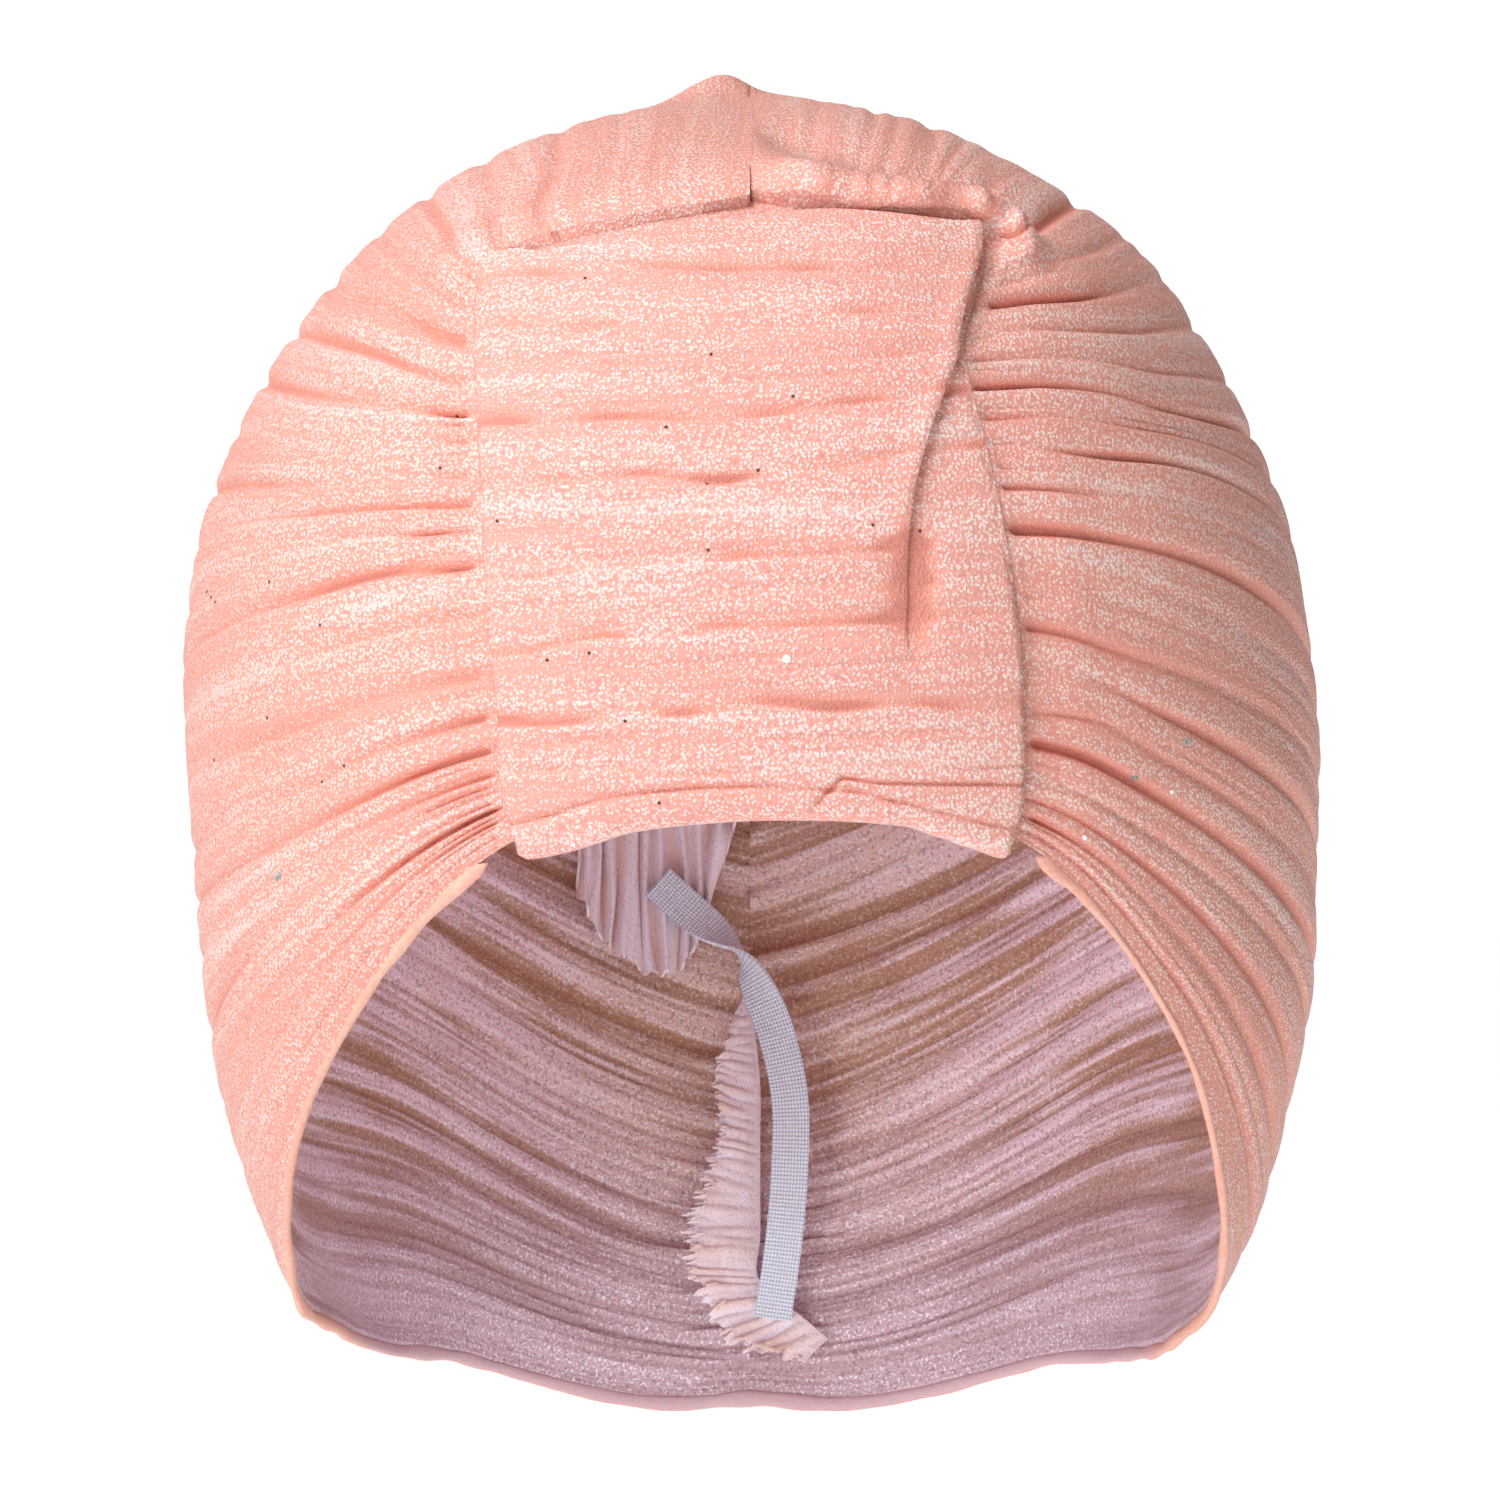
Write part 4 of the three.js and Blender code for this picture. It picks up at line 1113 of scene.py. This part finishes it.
@dataclass
class SeamRuffle:
    """The raw allowance of the back seam, ruffled along its free edge.

    run columns: share of its length; x and z of the sewn line; x and z of the free edge; depth inside.
    """

    run: tuple[tuple[float, ...], ...] = (
        (0.0, 0.5, -50, -1.5, -51, 8), (0.12, 1, -58, -4.4, -60, 9), (0.25, 2, -68, -7.0, -68, 9.5),
        (0.38, 2, -78, -6.4, -78, 9.5), (0.52, 2, -89, -9.4, -89, 9.5), (0.65, 2, -98, -12.4, -99, 9),
        (0.75, 1.4, -105, -12, -106, 8.5), (0.84, 5, -109.5, -8.2, -113.5, 8),
        (0.92, 10, -113.0, -2, -120, 7.5), (1.0, 15.5, -117.5, 11, -122.5, 7),
    )

    def build(self, raw: bpy.types.Material, tape: bpy.types.Object) -> bpy.types.Object:
        """Makes the strip: from the sewn line to a free edge that waves and frays.

        Args:
            raw: its material.
            tape: the elastic that is sewn to it; not used.

        Returns:
            The strip.
        """
        sx, sz, fx, fz, depth = table(self.run)
        f = np.linspace(0, 1, 420)[:, None]
        out = np.linspace(0, 1, 26)[None, :]
        fray = 1 + (0.10 * ripple(f * 60, 0 * f, 12) + 0.06 * ripple(f * 170, 0 * f, 13)) * (out > 0.9)
        o = out * fray
        x, z = blend(sx(f), fx(f), o), blend(sz(f), fz(f), o)
        fold = np.sin(2 * math.pi * (13 * f + 0.9 * ripple(f * 7, 0 * f, 14)))
        wave = (blend(0.35, 1.0, ease((f - 0.55) / 0.25)) * fold + 0.55 * ripple(f * 26, out * 0.8, 15)) * out
        mid = FORM.inside(x, z, blend(7.2, depth(f) + 1, out) + wave * ease((f - 0.02) / 0.08))
        crease = np.clip(0.5 + 0.5 * wave, 0, 1)
        obj = leaf("back_seam_allowance", mid, 0.5, f * 85 + 0 * out, out * 11 + 0 * f, crease)
        join(obj, "back_seam_ruffle", "raw_crepe", raw, raw)
        return obj


@dataclass
class TopFrill:
    """The gathered raw end of the allowance, hanging inside under the band.

    run columns: x; its top and its low edge, in z.
    """

    run: tuple[tuple[float, float, float], ...] = (
        (-35.5, -14, -30), (-32, -9, -37), (-25, -6, -44), (-18, -5, -46.5), (-12, -4, -42),
        (-7, -3, -28), (-3, -3, -15),
    )

    def build(self, raw: bpy.types.Material) -> bpy.types.Object:
        """Makes the frill: close gathers at its top that open out to a frayed edge."""
        top, low = table(self.run)
        j = np.linspace(0, 1, 300)[None, :]
        down = np.linspace(0, 1, 70)[:, None]
        x = blend(-35.5, -3.0, j) + 0.6 * ripple(j * 9, down * 1.2, 21) * down
        ragged = 1 + 0.015 * ripple(j * 26, 0 * j, 22) * (down > 0.93)
        z = blend(top(x), low(x), down * ragged)
        phase = 2 * math.pi * (9.5 * j + 0.5 * ripple(j * 4, down * 0.4, 23))
        wave = blend(1.4, 1.9, down) * np.sin(phase) * (0.7 + 0.3 * ripple(j * 7, down, 24))
        mid = FORM.inside(x, z, blend(7.2, 9.4, down) + wave)
        crease = np.clip(0.5 - 0.4 * wave, 0, 1)
        obj = leaf("seam_top_gathers", mid, 0.5, 40 * down + 0 * j, 34 * j + 0 * down, crease)
        join(obj, "seam_top_frill", "raw_crepe", raw, raw)
        return obj


class Grain(Enum):
    """Small things caught in the cloth, by their finish."""

    DARK = "dark_specks"
    GREY = "grey_pills"
    GLITTER = "glitter_dots"


@dataclass
class Specks:
    """Tiny specks on the cloth, each placed where the camera sees it in the photograph.

    The pixel places are those of the 1500 by 1500 photograph.
    """

    picture: float = 1500.0
    away: float = 1.2
    zoom: float = 6810.0
    largest: float = 1.9
    dark: tuple[tuple[int, int], ...] = (
        (585, 278), (711, 354), (793, 396), (457, 416), (666, 427), (440, 468), (758, 470), (707, 484),
        (497, 521), (873, 525), (920, 531), (708, 550), (269, 582), (320, 625), (589, 653), (547, 660),
        (267, 718), (625, 721), (214, 760), (344, 766), (322, 782), (659, 803), (207, 592), (211, 597),
        (215, 602),
    )
    grey: tuple[tuple[int, int], ...] = ((280, 875), (277, 878), (1185, 743), (1189, 741), (1135, 778))
    glitter: tuple[tuple[int, int], ...] = (
        (787, 659), (560, 1028), (604, 1297), (647, 1328), (573, 845), (859, 849), (1172, 792), (1085, 838),
    )

    def build(self, carriers: Sequence[bpy.types.Object]) -> None:
        """Makes one object for each kind of grain."""
        looks = {
            Grain.DARK: (self.dark, 0.30, Plain("dark_speck", (0.05, 0.02, 0.02), (0.14, 0.06, 0.05))),
            Grain.GREY: (self.grey, 0.62, Plain("grey_pill", (0.26, 0.28, 0.26), (0.44, 0.46, 0.42))),
            Grain.GLITTER: (self.glitter, 0.42, Plain("glitter_dot", (0.96, 0.96, 1.0), (1, 1, 1), 0.15)),
        }
        dome, dome_faces = self.bead()
        for kind, (places, radius, finish) in looks.items():
            spots = [(number, self.seen(px, py, carriers)) for number, (px, py) in enumerate(places)]
            points, faces = [], []
            for number, hit in spots:
                if hit is None:
                    LOG.info("%s: nothing at %s", kind.value, places[number])
                    continue
                big = radius * (self.largest if kind is Grain.GLITTER and number == 0 else 1.0)
                faces += [tuple(len(points) + i for i in face) for face in dome_faces]
                points += (hit[0] + MM * big * dome @ hit[1]).tolist()
            mesh = bpy.data.meshes.new(kind.value)
            mesh.from_pydata(points, [], faces)
            mesh.shade_smooth()
            obj = bpy.data.objects.new(kind.value, mesh)
            bpy.context.scene.collection.objects.link(obj)
            join(obj, "", "crown_crepe", finish.build())

    def seen(self, px: float, py: float, carriers: Sequence[bpy.types.Object]) -> tuple[Array, Array] | None:
        """The cloth that shows at a pixel: its point, and two directions along it with its normal."""
        start = np.array([0.0, -self.away, 0.0])
        half = self.picture / 2
        way = np.array([(px - half) / self.zoom, 1.0, (half - py) / self.zoom])
        way = way / np.linalg.norm(way)
        hits = [np.array(hit[1:3]) for hit in (o.ray_cast(start, way) for o in carriers) if hit[0]]
        if not hits:
            return None
        place, normal = min(hits, key=lambda hit: np.linalg.norm(hit[0] - start))
        side = np.cross(normal, [0.0, 0.0, 1.0])
        side = side / np.linalg.norm(side)
        return place, np.stack([side, np.cross(normal, side), normal])

    def bead(self) -> tuple[Array, list[tuple[int, ...]]]:
        """A flat little dome of radius 1: three rings, its foot sunk into the cloth, and a top."""
        ring = 8
        turn = np.linspace(0, 2 * math.pi, ring, endpoint=False)
        wide, high = np.array([1.0, 0.9, 0.5])[:, None], np.array([-0.25, 0.25, 0.55])[:, None]
        rings = np.stack([wide * np.cos(turn), wide * np.sin(turn), high + 0 * turn], -1)
        points = np.concatenate([rings.reshape(-1, 3), [[0.0, 0.0, 0.65]]])
        a = np.arange(ring)
        b = (a + 1) % ring
        faces = [tuple(f) for r in (0, ring) for f in np.stack([a, a + ring, b + ring, b], 1) + r]
        faces += [(2 * ring + i, 3 * ring, 2 * ring + j) for i, j in zip(a, b)]
        return points, [tuple(int(i) for i in face) for face in faces] + [tuple(range(ring))]


@dataclass
class Studio:
    """Pale floor, pale surroundings that are brighter at the front left, and the photograph's camera."""

    away: float = 1.2
    lens: float = 163.4
    floor: float = -0.36
    spread: float = 12.0

    def build(self) -> None:
        """Makes the floor, world, lamps and camera."""
        scene = bpy.context.scene
        mesh = bpy.data.meshes.new("floor")
        corners = ((-1, -1), (1, -1), (1, 1), (-1, 1))
        points = [(self.spread * x, self.spread * y, self.floor) for x, y in corners]
        mesh.from_pydata(points, [], [(0, 1, 2, 3)])
        floor = bpy.data.objects.new("floor", mesh)
        scene.collection.objects.link(floor)
        f = Finish("pale_floor")
        grain = f.noise(f.place(), 3.0, 2.0)
        far = f.node("VectorMath", "Value", {"operation": "LENGTH"}, {0: f.place()})
        bright = f.mix((0.0, 0.0, 0.0), (1.0, 1.0, 1.0), far.step(-0.9, 1.5))
        grey = f.mix((0.70, 0.70, 0.70), (0.74, 0.74, 0.74), grain)
        f.wire(grey, 0.9, grain, 0.0001, Emission_Strength=0.85)
        fill(f.tree, f.shader, {"Emission Color": bright})
        floor.data.materials.append(f.material)
        self.world(scene)
        self.lamp("key", (-1.5, -1.05, 1.0), 0.8, 7.0)
        self.lamp("top", (-0.6, -0.75, 1.75), 0.9, 31.0)
        self.lamp("front", (-0.8, -1.5, -0.12), 0.45, 5.0)
        self.lamp("side", (1.9, -0.7, 0.4), 1.2, 0.2)
        data = bpy.data.cameras.new("camera")
        data.sensor_width, data.lens = 36.0, self.lens
        data.clip_end = 60.0
        camera = bpy.data.objects.new("camera", data)
        camera.location = (0.0, -self.away, 0.0)
        camera.rotation_euler = (math.radians(90), 0, 0)
        scene.collection.objects.link(camera)
        scene.camera = camera
        scene.view_settings.view_transform = "Standard"

    def world(self, scene: bpy.types.Scene) -> None:
        """Surroundings that are white everywhere and brighter towards the front left."""
        world = bpy.data.worlds.new("surroundings")
        world.use_nodes = True
        scene.world = world
        tree = world.node_tree
        back = next(n for n in tree.nodes if n.type == "BACKGROUND")
        way = add_node(tree, "TexCoord", "Generated", {}, {})
        towards = np.array([-0.75, -0.55, 0.35])
        lean = {0: way, 1: tuple(towards / np.linalg.norm(towards))}
        lit = add_node(tree, "VectorMath", "Value", {"operation": "DOT_PRODUCT"}, lean).step(-0.2, 1.0)
        behind = add_node(tree, "SeparateXYZ", 1, {}, {0: way}).step(0.86, 0.96)
        fill(tree, back, {"Strength": lit * 0.3 + 0.05 + behind * 1.0})
        back.inputs["Color"].default_value = (1.0, 1.0, 1.0, 1.0)

    def lamp(self, name: str, place: tuple[float, float, float], size: float, power: float) -> None:
        """Makes a square, white area lamp that looks at the origin."""
        data = bpy.data.lights.new(name, "AREA")
        data.size, data.energy = size, power
        lamp = bpy.data.objects.new(name, data)
        lamp.location = place
        aim = -np.asarray(place) / np.linalg.norm(place)
        lamp.rotation_euler = (math.acos(-aim[2]), 0.0, math.atan2(aim[1], aim[0]) - math.pi / 2)
        bpy.context.scene.collection.objects.link(lamp)


def main() -> None:
    """Builds the hat piece by piece, then the studio, and reports each one."""
    logging.basicConfig(level=logging.INFO, format="%(message)s")
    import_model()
    outside, inside = CrepeOut().build(), CrepeIn().build()
    band_out = CrepeOut(name="crepe_band", ground=(0.84, 0.375, 0.31), light=(0.95, 0.75, 0.71)).build()
    hem, raw, knit = HemCloth().build(), RawCrepe().build(), Elastic().build()
    crown = Crown()
    carriers = crown.build(outside, inside)
    carriers.append(FrontBand().build(band_out, inside))
    RimHem().build(crown.relief, hem)
    SeamRuffle().build(raw, ElasticTape().build(knit))
    TopFrill().build(raw)
    Specks().build(carriers)
    Studio().build()
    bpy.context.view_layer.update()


if __name__ == "__main__":
    main()
